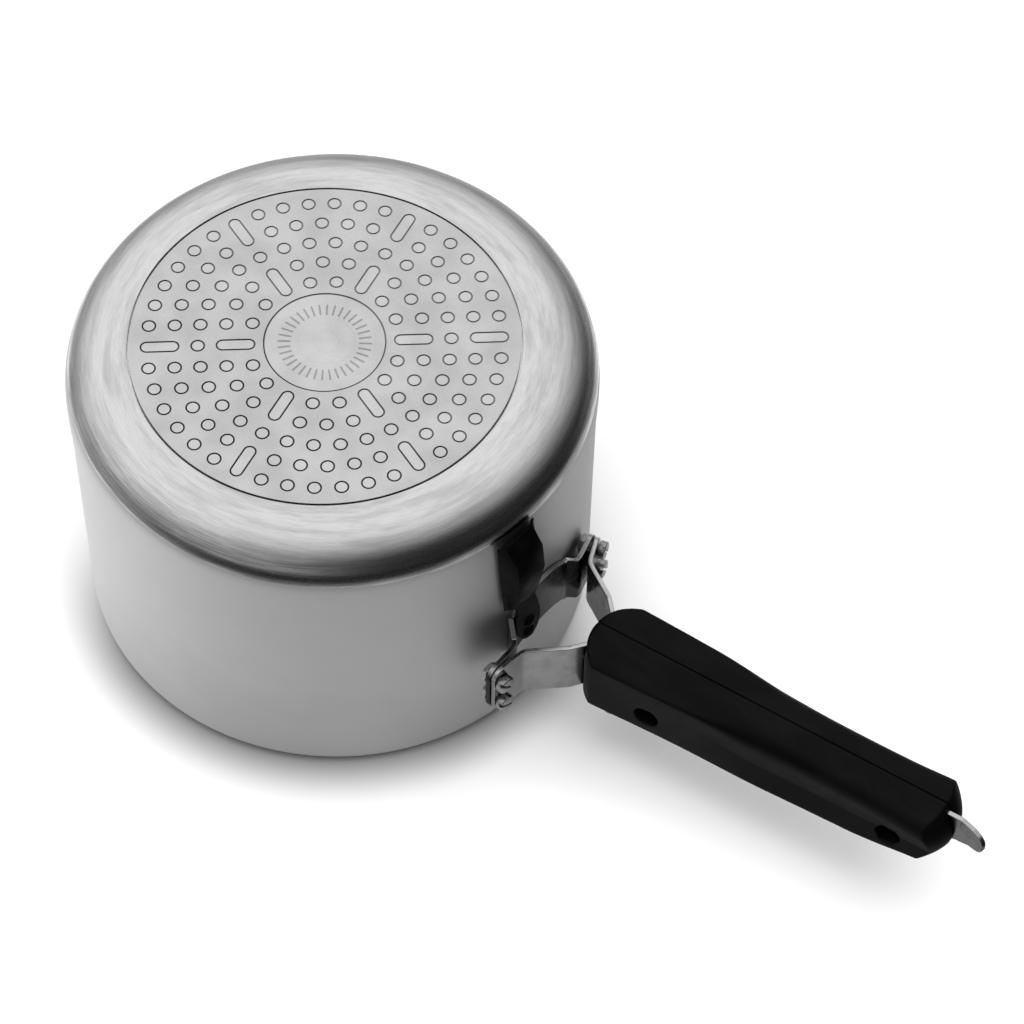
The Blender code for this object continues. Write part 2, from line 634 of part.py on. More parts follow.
def end_cutter(side):
    """What lies beyond the far end, which is a shallow dome."""
    bm = bmesh.new()
    low, high = HANDLE_BOTTOM - PAST, HANDLE_TOP + PAST
    near, far = [], []
    for i in range(DOME_STEPS + 1):
        y = -PAST + (DOME_REACH + PAST) * i / DOME_STEPS
        line = [low + (high - low) * j / DOME_STEPS for j in range(DOME_STEPS + 1)]
        plan_y = HANDLE_LINE_Y + side * y
        near.append([bm.verts.new((HANDLE_END_X - y * y / (2 * END_ARC_RADIUS)
                                   - (z - END_DOME_Z) ** 2 / (2 * END_DOME_RADIUS),
                                   plan_y, z)) for z in line])
        far.append([bm.verts.new((HANDLE_FAR_X + PAST, plan_y, z)) for z in line])
    last = DOME_STEPS
    for grid in (near, far):
        for i in range(last):
            for j in range(last):
                bm.faces.new((grid[i][j], grid[i + 1][j], grid[i + 1][j + 1], grid[i][j + 1]))
    rim = ([(i, 0) for i in range(last)] + [(last, j) for j in range(last)]
           + [(i, last) for i in range(last, 0, -1)] + [(0, j) for j in range(last, 0, -1)])
    for (a, b), (c, d) in zip(rim, rim[1:] + rim[:1]):
        bm.faces.new((near[a][b], near[c][d], far[c][d], far[a][b]))
    return as_cutter(add_object(f"end_cut_{side}", bm, CUTTERS))


def make_handle_half(side, name, group, material):
    """One half shell, lofted through its sections and cut for the core and the bolts."""
    bm = bmesh.new()
    rings = []
    for i in range(HANDLE_STATIONS + 1):
        x = HANDLE_START_X + (HANDLE_FAR_X - HANDLE_START_X) * i / HANDLE_STATIONS
        rings.append([bm.verts.new((x, HANDLE_LINE_Y + side * y, z))
                      for y, z in handle_section(x)])
    for ring, following in zip(rings, rings[1:]):
        count = len(ring)
        for i in range(count):
            j = (i + 1) % count
            bm.faces.new((ring[i], ring[j], following[j], following[i]))
    bm.faces.new(rings[0])
    bm.faces.new(rings[-1])
    shell = add_object(name, bm, group, material)
    add_boolean(shell, front_cutter(side))
    add_boolean(shell, end_cutter(side))
    add_boolean(shell, yoke_pocket(side))
    add_boolean(shell, core_pocket(side))
    for number, x in enumerate(BOLT_X, start=1):
        start = (x, HANDLE_LINE_Y - CUT_REACH, BOLT_Z)
        hole = cylinder_cutter(f"{name}_bolt_hole_{number}", BOLT_HOLE_RADIUS, start, Y_AXIS,
                               2 * CUT_REACH)
        add_boolean(shell, hole)
        round_pocket = side < 0 if number == 1 else side > 0
        seat = Vector((x, HANDLE_LINE_Y + side * BOLT_SEAT_Y, BOLT_Z))
        radius = ROUND_POCKET_RADIUS if round_pocket else HEX_POCKET_RADIUS
        steps = ROUND_STEPS if round_pocket else HEXAGON
        pocket = cylinder_cutter(f"{name}_pocket_{number}", radius, seat, Y_AXIS * side,
                                 CUT_REACH, steps)
        add_boolean(shell, pocket)
    stud_x, stud_y = STUD_POSITION
    bore = cylinder_cutter(f"{name}_stud_bore", STUD_SHANK_RADIUS + GAP,
                           (stud_x, HANDLE_LINE_Y + side * stud_y,
                            HANDLE_BOTTOM + STUD_SHANK_LENGTH + GAP), -Z_AXIS, CUT_REACH, SMALL_STEPS)
    add_boolean(shell, bore)
    return shell


def plan_cutter(name, plan, low, high):
    """A straight prism over a plan outline."""
    bm = bmesh.new()
    face = bm.faces.new([bm.verts.new((x, y, low)) for x, y in plan])
    lift = bmesh.ops.extrude_face_region(bm, geom=[face])
    moved = [item for item in lift["geom"] if isinstance(item, bmesh.types.BMVert)]
    bmesh.ops.translate(bm, verts=moved, vec=(0, 0, high - low))
    return as_cutter(add_object(name, bm, CUTTERS))


def yoke_pocket(side):
    """The mouth at the pot end, where the yoke arms converge."""
    reach = STRAP_THICKNESS / 2 + POCKET_CLEARANCE
    outline = [(HANDLE_START_X - PAST, -PAST), (HANDLE_START_X - PAST, MOUTH_HALF),
               (YOKE_ROOT[0] + reach, YOKE_ROOT[1] + reach),
               (CORE_START_X + 1.5 * reach, CORE_Y + 1.2 * reach),
               (CORE_NARROW_X + PAST, CORE_Y + 1.1 * reach),
               (CORE_NARROW_X + PAST, -PAST)]
    plan = [(x, HANDLE_LINE_Y + side * y) for x, y in outline]
    return plan_cutter(f"yoke_pocket_{side}", plan, STRAP_BOTTOM - POCKET_CLEARANCE,
                       STRAP_TOP + POCKET_CLEARANCE)


def core_pocket(side):
    """The long slot for the core straps, open at the far end where the tab comes out."""
    outline = [(CORE_NARROW_X, -PAST), (CORE_NARROW_X, POCKET_Y),
               (CORE_END_X + PAST, POCKET_Y), (CORE_END_X + PAST, -PAST)]
    plan = [(x, HANDLE_LINE_Y + side * y) for x, y in outline]
    slot = plan_cutter(f"core_pocket_{side}", plan, CORE_BOTTOM - GAP, CORE_TOP + GAP)
    if side < 0:
        mouth = [(CORE_END_X, -PAST), (CORE_END_X, POCKET_Y),
                 (HANDLE_END_X + PAST, POCKET_Y + POCKET_FLARE),
                 (HANDLE_END_X + PAST, -PAST)]
        plan = [(x, HANDLE_LINE_Y + side * y) for x, y in mouth]
        end = plan_cutter("tab_mouth", plan, CORE_BOTTOM - GAP, TAB_MOUTH_TOP)
        add_boolean(slot, end, "UNION")
    return slot


def make_bolt(x, head_side, name, group, material):
    """A handle bolt with a round head, along Y."""
    seat = BOLT_SEAT_Y + GAP
    start = Vector((x, HANDLE_LINE_Y + head_side * seat, BOLT_Z))
    bm = bmesh.new()
    add_cylinder(bm, BOLT_HEAD_RADIUS, start, Y_AXIS * head_side, BOLT_HEAD_HEIGHT)
    bolt = add_object(name, bm, group, material)
    edge = bolt.modifiers.new("head_edge", "BEVEL")
    edge.width = BOLT_HEAD_EDGE
    edge.segments = 2
    edge.angle_limit = SHARP_ANGLE
    length = 2 * seat + BOLT_NUT_HEIGHT + BOLT_HEAD_HEIGHT / 2
    shank = cylinder_cutter(f"{name}_shank", BOLT_RADIUS,
                            start + Y_AXIS * head_side * BOLT_HEAD_HEIGHT / 2,
                            -Y_AXIS * head_side, length)
    add_boolean(bolt, shank, "UNION")
    return bolt


def make_bolt_nut(x, side, name, group, material):
    start = (x, HANDLE_LINE_Y + side * (BOLT_SEAT_Y + GAP), BOLT_Z)
    return make_nut(name, start, Y_AXIS * side, BOLT_NUT_RADIUS, BOLT_NUT_HEIGHT,
                    BOLT_HOLE_RADIUS, group, material)


def make_stud(side, name, group, material):
    """A domed stud under the pot end of the handle."""
    shank_top = HANDLE_BOTTOM + STUD_SHANK_LENGTH
    seat = HANDLE_BOTTOM - GAP
    dome = arc((0.0, seat), (STUD_HEAD_RADIUS, STUD_HEAD_HEIGHT), 0, -90, 5)
    dome[-1] = (0.0, seat - STUD_HEAD_HEIGHT)
    profile = [(0.0, shank_top), (STUD_SHANK_RADIUS, shank_top), (STUD_SHANK_RADIUS, seat)]
    x, y = STUD_POSITION
    place = Matrix.Translation((x, HANDLE_LINE_Y + side * y, 0))
    return turned(name, profile + dome, place, group, material, SMALL_STEPS)


# ---------------------------------------------------------------- assembly

def build():
    cooker = make_collection(COLLECTION)
    aluminium = make_material("pot_aluminium", (0.78, 0.78, 0.78), 0.38, 1.0)
    plate = make_material("plate_alloy", (0.84, 0.84, 0.84), 0.30, 1.0)
    steel = make_material("plated_steel", (0.62, 0.62, 0.63), 0.18, 1.0)
    fastener = make_material("fastener_steel", (0.55, 0.55, 0.56), 0.25, 1.0)
    phenolic = make_material("black_phenolic", (0.012, 0.012, 0.013), 0.42, 0.0)
    paint = make_material("black_paint", (0.010, 0.010, 0.010), 0.48, 0.0)
    blackened = make_material("blackened_steel", (0.05, 0.05, 0.05), 0.45, 1.0)

    pot = make_pot(cooker, aluminium)
    rivet_holes(pot)
    make_plate(cooker, plate)
    make_saddle(cooker, steel)
    make_yoke(-1, "yoke_left", cooker, steel)
    make_yoke(1, "yoke_right", cooker, steel)
    make_guard(cooker, paint)
    for number, height in enumerate(RIVET_Z, start=1):
        make_rivet(height, f"saddle_rivet_{number}", cooker, paint)
    for side, word in ((-1, "left"), (1, "right")):
        for height, place in zip(SCREW_Z, ("upper", "lower")):
            make_ear_screw(side, height, f"ear_screw_{word}_{place}", cooker, fastener)
            make_ear_nut(side, height, f"ear_nut_{word}_{place}", cooker, fastener)
        make_handle_half(side, f"handle_half_{word}", cooker, phenolic)
        make_stud(side, f"rest_stud_{word}", cooker, fastener)
    for x, head_side, word in ((BOLT_X[0], -1, "front"), (BOLT_X[1], 1, "rear")):
        make_bolt(x, head_side, f"handle_bolt_{word}", cooker, blackened)
        make_bolt_nut(x, -head_side, f"handle_nut_{word}", cooker, blackened)


clear_scene()
CUTTERS = make_collection("cutters")
build()
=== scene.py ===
"""Looks of the pressure cooker body: fine surfaces, materials, floor, light and camera.

The cooker stands upside down on a white floor.  Z = 0 is the outer face of its base plate, the
pot's axis is the Z axis and the handle points along +X.  Lengths are in metres, and in
millimetres in the tables that say so.
"""

from math import cos, pi, radians, sin, sqrt, tan

import bmesh
import bpy
from mathutils import Matrix, Vector


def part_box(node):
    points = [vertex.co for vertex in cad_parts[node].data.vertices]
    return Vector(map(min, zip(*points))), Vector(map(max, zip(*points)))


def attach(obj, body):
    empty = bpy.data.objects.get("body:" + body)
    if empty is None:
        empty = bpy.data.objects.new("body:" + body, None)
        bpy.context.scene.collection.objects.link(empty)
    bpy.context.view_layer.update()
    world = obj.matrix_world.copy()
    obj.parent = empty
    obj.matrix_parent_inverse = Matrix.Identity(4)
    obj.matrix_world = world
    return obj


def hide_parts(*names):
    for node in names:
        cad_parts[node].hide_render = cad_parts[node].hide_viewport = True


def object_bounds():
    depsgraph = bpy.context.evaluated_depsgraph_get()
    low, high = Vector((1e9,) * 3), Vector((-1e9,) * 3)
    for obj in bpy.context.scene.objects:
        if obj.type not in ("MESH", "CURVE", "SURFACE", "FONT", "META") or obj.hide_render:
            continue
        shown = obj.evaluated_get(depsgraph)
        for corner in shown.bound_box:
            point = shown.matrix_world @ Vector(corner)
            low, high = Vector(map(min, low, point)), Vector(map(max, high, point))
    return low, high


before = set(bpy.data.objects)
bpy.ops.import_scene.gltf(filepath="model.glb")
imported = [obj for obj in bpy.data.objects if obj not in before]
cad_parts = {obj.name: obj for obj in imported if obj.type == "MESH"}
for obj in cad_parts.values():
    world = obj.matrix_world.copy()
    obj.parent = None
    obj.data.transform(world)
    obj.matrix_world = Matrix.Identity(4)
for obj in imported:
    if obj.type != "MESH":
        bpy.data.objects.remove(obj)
cad_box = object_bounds()

MM = 0.001
GAP = 0.3 * MM  # play between neighbouring pieces, as in the CAD
MERGE_DISTANCE = 0.002 * MM
Y_AXIS = Vector((0, 1, 0))
Z_AXIS = Vector((0, 0, 1))

# Camera
LOOK_AT = Vector((91.2 * MM, -27.27 * MM, 0.0))
LOOK_DISTANCE = 1.3273
LOOK_AZIMUTH = radians(30.6)
LOOK_ELEVATION = radians(55.5)
LOOK_ROLL = radians(1.207)
LENS_MM = 136.74
SENSOR_MM = 36.0
LENS_SHIFT_Y = -0.00195
CLIP_RANGE = (0.01, 100.0)

# Pot
BULGE_RADIUS = 94.8 * MM
WALL_RADIUS_BASE = 94.3 * MM
WALL_RADIUS_RIM = 93.8 * MM
BASE_FLAT_RADIUS = 72 * MM
BULGE_DEPTH = 18.7 * MM
BULGE_POWER = 2.5
BULGE_EASE = 20 * MM  # the base edge eases into the wall over this height
WALL_THICKNESS = 3.2 * MM
BASE_THICKNESS = 6.5 * MM
RIM_ROUND = 6.5 * MM
MOUTH_RADIUS = 80 * MM
FLOOR_ROUND = 16 * MM
RECESS_GROOVE = 2.4 * GAP  # open groove round the plate
RECESS_EDGE = 0.2 * MM
POT_STEPS = 256
BULGE_STEPS = 56
WALL_STEPS = 40

POLISH_EDGE_Z = -12 * MM  # line between the brushed base and the satin wall
EDGE_LEAN = 2.4 * MM  # it lies lower on one side of the pot
EDGE_LEAN_AZIMUTH = radians(-14)
EDGE_BLUR = 0.25 * MM
EDGE_FEATHER = 0.5 * MM
STREAK_AND_SHADE_BAND = (BASE_FLAT_RADIUS + 12 * MM, BASE_FLAT_RADIUS + 34 * MM)  # radius less height; the streaks here are darkened, partly as painted shade

# Induction plate: radii are shares of the plate's own radius
SLOT_AZIMUTH = radians(34.2)
DOT_RINGS = (  # ring radius, dots between two slots, dot at the slot's angle
    (0.9048, 6, False), (0.7745, 5, False), (0.6459, 4, True), (0.5175, 3, False),
    (0.3895, 2, False),
)
SLOT_RING_RADII = (0.8397, 0.4535)
SECTORS = 6
DOT_RADIUS = 2.3 * MM
SLOT_HALF_LENGTH = 6.7 * MM
SLOT_HALF_WIDTH = 2.15 * MM
GROOVE_WIDTH = 0.62 * MM
SHEET_THICKNESS = 0.35 * MM
MEDALLION_RADIUS = 0.315
MEDALLION_TICKS = 36
TICK_HALF_LENGTH = 2.3 * MM
TICK_HALF_WIDTH = 0.34 * MM
TICK_RING = 0.66  # this and the beads are shares of the medallion's radius
TICK_SUNK = 0.055 * MM
MEDALLION_SUNK = 0.10 * MM
BEADS = ((0.80, 0.9 * MM), (0.46, 0.8 * MM), (0.20, 0.6 * MM))  # share, half width
BEAD_HEIGHT = 0.09 * MM
BEAD_PROFILE = ((-1.0, 0.0), (-0.5, 0.7), (0.0, 1.0), (0.5, 0.7), (1.0, 0.0))
GROOVE_SHADE_LEVELS = (0.05, 0.34)  # painted shade in the grooves, from one side to the other
GROOVE_HEIGHTS = (-0.30 * MM, -0.10 * MM)
GROOVE_SHADE_RANGE = (-45 * MM, 35 * MM)
GROOVE_SHADE_DRIFT = 90 * MM

# Bracket straps
SEAM_Y = -11.5 * MM  # the handle's centre plane
SADDLE_ANGLE = radians(-7)
WALL_AT_BRACKET = WALL_RADIUS_RIM + 0.25 * MM
STRAP_THICKNESS = 1.8 * MM
STRAP_EDGE = 0.32 * MM
FILLET_STEPS = 8
EAR_HALF_SPAN = 36.5 * MM
EAR_CORNER = 5 * MM
SADDLE_EAR_X = 95.5 * MM
SADDLE_KNEE = (97.5 * MM, 21.8 * MM)
SADDLE_ARC_HALF = radians(9.5)
SADDLE_RISE = 12 * MM  # the saddle arches up between its ears
SADDLE_ARCH_HALF = radians(12)
SADDLE_STEPS = 16
SADDLE_FILLET = 5 * MM
EAR_SHIFT = -1 * MM  # the ears stand a little to the left of the seam's line
YOKE_EAR_X = SADDLE_EAR_X + STRAP_THICKNESS + GAP
YOKE_BEND = (101.6 * MM, 22.8 * MM)
YOKE_BOW = (115 * MM, 13.4 * MM)
YOKE_ROOT = (120.3 * MM, 7.4 * MM)
YOKE_FILLET = 6 * MM
CORE_START_X = 125 * MM
CORE_NARROW_X = 131 * MM
CORE_END_X = 252 * MM
CORE_Y = 1.25 * MM
CORE_HEIGHTS = (-73 * MM, -93 * MM)
TAB_POINTS = (  # mm: x, y, top, bottom
    (257.0, -1.25, -71.5, -88.0), (266.0, -1.6, -70.8, -84.5),
    (271.0, -2.6, -71.6, -82.5), (276.5, -4.4, -73.2, -81.0),
)
TAB_CORNER = 3 * MM

# Fasteners
SCREW_SWEEP = radians(12)
SCREW_Y = 33 * MM
SCREW_RADIUS = 1.9 * MM
SCREW_HEAD = (3.5 * MM, 2.7 * MM)  # radius, height
SCREW_HEAD_GAP = 0.6 * MM
SLOT_WIDTH = 1.1 * MM
SLOT_DEPTH = 1.4 * MM
SLOT_TURN = radians(35)
SLOT_TURN_STEP = radians(14)  # between the two screws of an ear
BOLT_SLOT_TURN = radians(20)
HEAD_DOME = 0.35 * MM
HEAD_EDGE = 0.45 * MM
HEAD_FOOT = 0.25 * MM
SHANK_CHAMFER = 0.4 * MM
SLOT_BEVEL = 0.08 * MM
HEX_STEPS = 96
NUT_CHAMFER = (0.97, 1.6)  # share of the flats at the faces, slope
BORE_PLAY = 0.1 * MM
SEAT_PLAY = 0.05 * MM
NUT_FLATS = 3.5 * MM  # half the width across the flats
NUT_HEIGHT = 2.2 * MM
RIVET_RADIUS = 1.5 * MM
RIVET_HEAD_RADIUS = 2.6 * MM
RIVET_HEAD_HEIGHT = 1.3 * MM
RIVET_TAIL_RADIUS = 3.2 * MM
BOLT_HEAD = (4.2 * MM, 2.4 * MM)
BOLT_NUT_FLATS = 4 * MM
BOLT_NUT_HEIGHT = 3.2 * MM
BOLT_PAST_NUT = 0.5 * MM
BOLT_RADIUS = 2.4 * MM
BOLT_SEAT_Y = 4.4 * MM
ROUND_POCKET_RADIUS = 4.7 * MM
HEX_POCKET_RADIUS = 5.1 * MM
STUD_HEAD_RADIUS = 4 * MM
STUD_SHANK_RADIUS = 1.5 * MM

# Flame guard
GUARD_ANGLE = radians(-12)
GUARD_LEAN = radians(6)
GUARD_PIVOT_Z = -79 * MM
GUARD_THICKNESS = 1 * MM
GUARD_STAND_OFF = 2.9 * MM
GUARD_HALF_FACE = 6.2 * MM
GUARD_HALF_WIDTH = 8.8 * MM
GUARD_FOLD_ROUND = 0.9 * MM
GUARD_EDGE = 0.2 * MM
GUARD_FOLDS = (  # mm: height, front face off the wall, side edge off it
    (-14.5, 3.0, 2.0), (-23.0, 7.6, 1.6), (-37.0, 7.6, 1.4), (-58.0, 2.9, 1.4),
)
TONGUE_OUTLINE = (  # mm: height, half width
    (-60.5, 4.7), (-64.0, 5.2), (-68.0, 5.8), (-73.0, 6.2), (-77.0, 6.0),
    (-80.0, 5.4), (-82.5, 4.4), (-84.5, 3.1), (-85.6, 1.9), (-86.0, 0.8),
)

# Handle
HANDLE_SEAM_GAP = 0.15 * MM
HANDLE_TOP = -68.2 * MM
HANDLE_BOTTOM = -98.5 * MM
HANDLE_CROWN = 4 * MM
CROWN_POWER = 1.7
HEEL_ROUND = 1.4 * MM
HANDLE_FRONT_X = 117 * MM
HANDLE_END_X = 264.6 * MM
FRONT_ARC_RADIUS = 17.5 * MM
FRONT_SKEW = 0.12
FRONT_SLOPE = 0.15  # the upper part of the pot end leans back
FRONT_SLOPE_Z = -76 * MM
FRONT_ROLL = 1.6 * MM
END_ARC_RADIUS = 13 * MM
END_DOME_RADIUS = 17 * MM
END_DOME_Z = -82 * MM
HANDLE_PLAN = (  # mm: x, half width at the shoulder, half width at the foot
    (108.0, 15.8, 15.6), (124.0, 15.6, 15.3), (158.0, 14.5, 13.9), (190.0, 13.0, 13.6),
    (210.0, 12.3, 12.8), (240.0, 12.5, 11.7), (256.0, 13.4, 11.2), (272.0, 13.8, 10.8),
)
GRIP_START_X = 160 * MM  # the hollow of the grip opens from here
GRIP_FULL_X = 192 * MM
GRIP_HEIGHT = -86 * MM  # lower edge of the hollow
GRIP_DEPTH = 1.1 * MM
TIP_RISE_X = 228 * MM
HANDLE_TIP_RISE = 4 * MM
SHOULDER_DROP = 8 * MM  # flat side above the crease where there is no hollow
SHOULDER_ROUND = (0.8, 3.6)  # mm: outside the grip, and what the grip adds
SHELL_SPAN = (108 * MM, 272 * MM)  # loft of the shells, before their ends are cut
SHELL_STEP = 2 * MM
FRONT_CUT_X = 100 * MM
END_CUT_X = 290 * MM
CUTTER_REACH = 20 * MM
CUTTER_MARGIN = 6 * MM
CUTTER_STEPS = 48
POCKET_PLAY = 0.4 * MM
POCKET_OVERLAP = 1 * MM  # how far a pocket reaches over the seam
TAB_POCKET_HEIGHTS = (-88.6 * MM, -70 * MM)
BOLT_POCKET_DEPTH = 20 * MM
SKIN_VOXEL = 0.45 * MM

# Materials
NOISE_SWING = (0.3, 0.7)  # the range that most of a noise's values lie in
STEEL_TINT = (1.0, 1.0, 1.01)
PHENOLIC_TINT = (1.0, 1.0, 1.03)
BRUSHED_LEVELS = (0.86, 0.50)  # level on the base, level in the dark streaks, which are partly painted shade
SATIN_LEVELS = (0.66, 0.72)
SATIN_ROUGHNESS = (0.50, 0.56)
BRUSHED_ROUGHNESS = (0.20, 0.34)
PLATE_SHEET = (0.72, 0.34)  # plates: level, roughness
PLATE_CORE = (0.75, 0.30)
PLATE_STAMP = (0.47, 0.42)
PLATED_STEEL = (0.44, 0.66)  # straps: level, painted highlight level on faces that point up
# Painted shade: the saddle is the strap steel darkened to near black
SHADED_STRAP_STEEL = (0.03, 0.50)
ZINC_LEVEL = 0.48
# Painted shade: the bolts deep in the handle's pockets are darkened to near black
BOLT_SHADE_LEVEL = 0.045
PHENOLIC_LEVELS = (0.0014, 0.0032)
PAINT_LEVELS = (0.0012, 0.0030)

# Light: directions are shares along the camera's right, away and up
DOME_TOWARDS = (-0.25, 0.50, 0.83)
DOME_EDGE = (0.0, 0.92)
DOME_POWER = 1.6
DOME_LEVELS = (0.03, 1.05)
SIDE_TOWARDS = (-0.80, -0.52, 0.18)
SIDE_EDGE = (0.25, 0.95)
SIDE_LEVEL = 0.32
BACKDROP_LEVEL = 1.05
KEY_TOWARDS = (0.02, -0.14, 1.0)
KEY_STRENGTH = 3.4
KEY_SPREAD = radians(75)
FLOOR_RADIUS = 2.5
FLOOR_WHITE = 0.86
# Painted contact shadow on the floor round the rim, darker towards one side
FLOOR_PAINTED_SHADOW = 0.22
PAINTED_SHADOW_TOWARDS = (-0.12, -1.0, 0.0)
PAINTED_SHADOW_TURN = (-0.15, 0.75)
PAINTED_SHADOW_FADE = (0.088, 0.114)
# Painted shade on the floor as the metals see it: darker away from the pot and towards one side
FLOOR_DARK_TOWARDS = (0.5, -0.85, 0.0)
FLOOR_TURN = (-0.75, 0.9)
FLOOR_SEEN = (0.85, 0.39)
FLOOR_FAR_TURN = (-0.6, 0.6)
FLOOR_FAR = (0.30, 0.02)
FLOOR_FADE = (0.17, 0.38)


# ---- mesh helpers

def arc(centre, radius, start, end, count, height=None):
    """Points on a circle in a plane, or on an ellipse of another height; angles in degrees."""
    height = height or radius
    angles = [radians(start + (end - start) * i / count) for i in range(count + 1)]
    return [(centre[0] + radius * cos(a), centre[1] + height * sin(a))
            for a in angles]


def radial(angle):
    return Vector((cos(angle), sin(angle), 0))


def smooth(t):
    t = min(max(t, 0.0), 1.0)
    return t * t * (3 - 2 * t)


def between(start, end, share):
    return tuple(a + (b - a) * share for a, b in zip(start, end))


def bend(start, corner, end, t):
    """A point on the curve that rounds a corner between two points."""
    return start * (1 - t) ** 2 + corner * 2 * t * (1 - t) + end * t ** 2


def table_value(table, x, column):
    """A smooth curve through a column of a table whose first column is x."""
    rows = [(row[0], row[column]) for row in table]
    for i in range(len(rows) - 1):
        if x <= rows[i + 1][0] or i == len(rows) - 2:
            break
    (x0, y0), (x1, y1) = rows[i], rows[i + 1]
    span = x1 - x0
    slope = (y1 - y0) / span
    before = (y1 - rows[i - 1][1]) / (x1 - rows[i - 1][0]) if i else slope
    after = (rows[i + 2][1] - y0) / (rows[i + 2][0] - x0) if i + 2 < len(rows) else slope
    t = (x - x0) / span
    return ((2 * t ** 3 - 3 * t ** 2 + 1) * y0 + (t ** 3 - 2 * t ** 2 + t) * span * before
            + (3 * t ** 2 - 2 * t ** 3) * y1 + (t ** 3 - t ** 2) * span * after)


def add_object(name, data):
    item = bpy.data.objects.new(name, data)
    bpy.context.scene.collection.objects.link(item)
    return item


def shade(mesh, sharp):
    mesh.shade_smooth()
    mesh.set_sharp_from_angle(angle=radians(sharp))


def mesh_object(name, bm, material, sharp=32.0):
    bmesh.ops.remove_doubles(bm, verts=bm.verts, dist=MERGE_DISTANCE)
    bmesh.ops.recalc_face_normals(bm, faces=bm.faces)
    mesh = bpy.data.meshes.new(name)
    bm.to_mesh(mesh)
    bm.free()
    piece = add_object(name, mesh)
    if material:
        mesh.materials.append(material)
    shade(mesh, sharp)
    return piece


def evaluated_mesh(item):
    bpy.context.view_layer.update()
    evaluated = item.evaluated_get(bpy.context.evaluated_depsgraph_get())
    return bpy.data.meshes.new_from_object(evaluated)


def apply_modifiers(piece, sharp=32.0):
    """Keep a piece's evaluated mesh and drop its modifiers and cutters."""
    mesh = evaluated_mesh(piece)
    cutters = {m.object for m in piece.modifiers if m.type == "BOOLEAN"}
    piece.modifiers.clear()
    piece.data = mesh
    for cutter in cutters:
        bpy.data.objects.remove(cutter, do_unlink=True)
    shade(mesh, sharp)
    return piece


def add_cut(piece, cutter):
    cut = piece.modifiers.new("cut", "BOOLEAN")
    cut.operation = "DIFFERENCE"
    cut.solver = "EXACT"
    cut.object = cutter
    cutter.hide_render = True


def add_bevel(piece, width, segments, angle):
    edge = piece.modifiers.new("edges", "BEVEL")
    edge.width = width
    edge.segments = segments
    edge.angle_limit = radians(angle)
    edge.use_clamp_overlap = True


def thicken(piece, thickness, edge, segments):
    """Give a sheet its thickness and rounded edges."""
    sheet = piece.modifiers.new("sheet", "SOLIDIFY")
    sheet.thickness = thickness
    sheet.offset = 0.0
    sheet.use_even_offset = True
    add_bevel(piece, edge, segments, 50.0)
    weighted = piece.modifiers.new("normals", "WEIGHTED_NORMAL")
    weighted.keep_sharp = True
    weighted.weight = 80
    return apply_modifiers(piece, 60.0)


def bridge(bm, rows, closed=False):
    """Faces between neighbouring rings of vertices; a ring may be a single point."""
    for upper, lower in zip(rows, rows[1:] + rows[:1] if closed else rows[1:]):
        steps = max(len(upper), len(lower))
        for i in range(steps):
            j = (i + 1) % steps
            corners = [upper[i % len(upper)], upper[j % len(upper)],
                       lower[j % len(lower)], lower[i % len(lower)]]
            corners = [v for k, v in enumerate(corners) if v not in corners[:k]]
            if len(corners) > 2:
                bm.faces.new(corners)


def rings_mesh(rings, steps, place=None):
    """A closed surface through rings of (radius, height) or (radius, height, centre x, y).

    A radius may be a function of the angle.
    """
    bm = bmesh.new()
    rows = []
    for radius, height, *centre in rings:
        cx, cy = centre or (0.0, 0.0)
        rows.append([])
        for i in range(steps if radius else 1):
            a = 2 * pi * i / steps
            r = radius(a) if callable(radius) else radius
            rows[-1].append(bm.verts.new((cx + r * cos(a), cy + r * sin(a), height)))
    bridge(bm, rows, len(rows[0]) > 1 and len(rows[-1]) > 1)
    if place:
        bm.transform(place)
    return bm


def placed(centre, axis):
    """The place of a piece made along +Z that stands at a point, along an axis."""
    turn = Z_AXIS.rotation_difference(Vector(axis)).to_matrix().to_4x4()
    return Matrix.Translation(centre) @ turn


def box_centre(node):
    low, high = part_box(node)
    return (low + high) / 2


def finish_piece(piece, node):
    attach(piece, "root")
    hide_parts(node)


# ---- materials

class Nodes:
    """A node tree, and short calls for the nodes in it."""

    def __init__(self, tree):
        self.tree = tree

    def feed(self, socket, value):
        if isinstance(value, bpy.types.NodeSocket):
            self.tree.links.new(value, socket)
        else:
            socket.default_value = value

    def apply(self, node, named):
        """Names in lower case are a node's settings, and names with capitals its inputs."""
        for name, value in named.items():
            if name.islower():
                setattr(node, name, value)
            else:
                self.feed(node.inputs[name.replace("_", " ")], value)

    def new(self, kind, *values, **named):
        """A node, with values or links fed to its first inputs and to the named ones."""
        node = self.tree.nodes.new("ShaderNode" + kind)
        self.apply(node, named)
        for socket, value in zip(node.inputs, values):
            self.feed(socket, value)
        return node

    def math(self, operation, *values):
        return self.new("Math", *values, operation=operation).outputs[0]

    def add(self, first, second):
        return self.math("ADD", first, second)

    def times(self, first, second):
        return self.math("MULTIPLY", first, second)

    def remap(self, value, low, high, to_low=0.0, to_high=1.0, curve="SMOOTHSTEP"):
        return self.new("MapRange", value, low, high, to_low, to_high,
                        interpolation_type=curve).outputs[0]

    def vary(self, noise, to_low, to_high):
        """A noise as a value between two others."""
        return self.remap(noise, *NOISE_SWING, to_low, to_high)

    def blend(self, factor, first, second):
        """A grey level between two levels."""
        return self.math("MULTIPLY_ADD", factor, self.math("SUBTRACT", second, first), first)

    def split(self, vector):
        return self.new("SeparateXYZ", vector).outputs[:]

    def vector(self, x, y, z):
        return self.new("CombineXYZ", x, y, z).outputs[0]


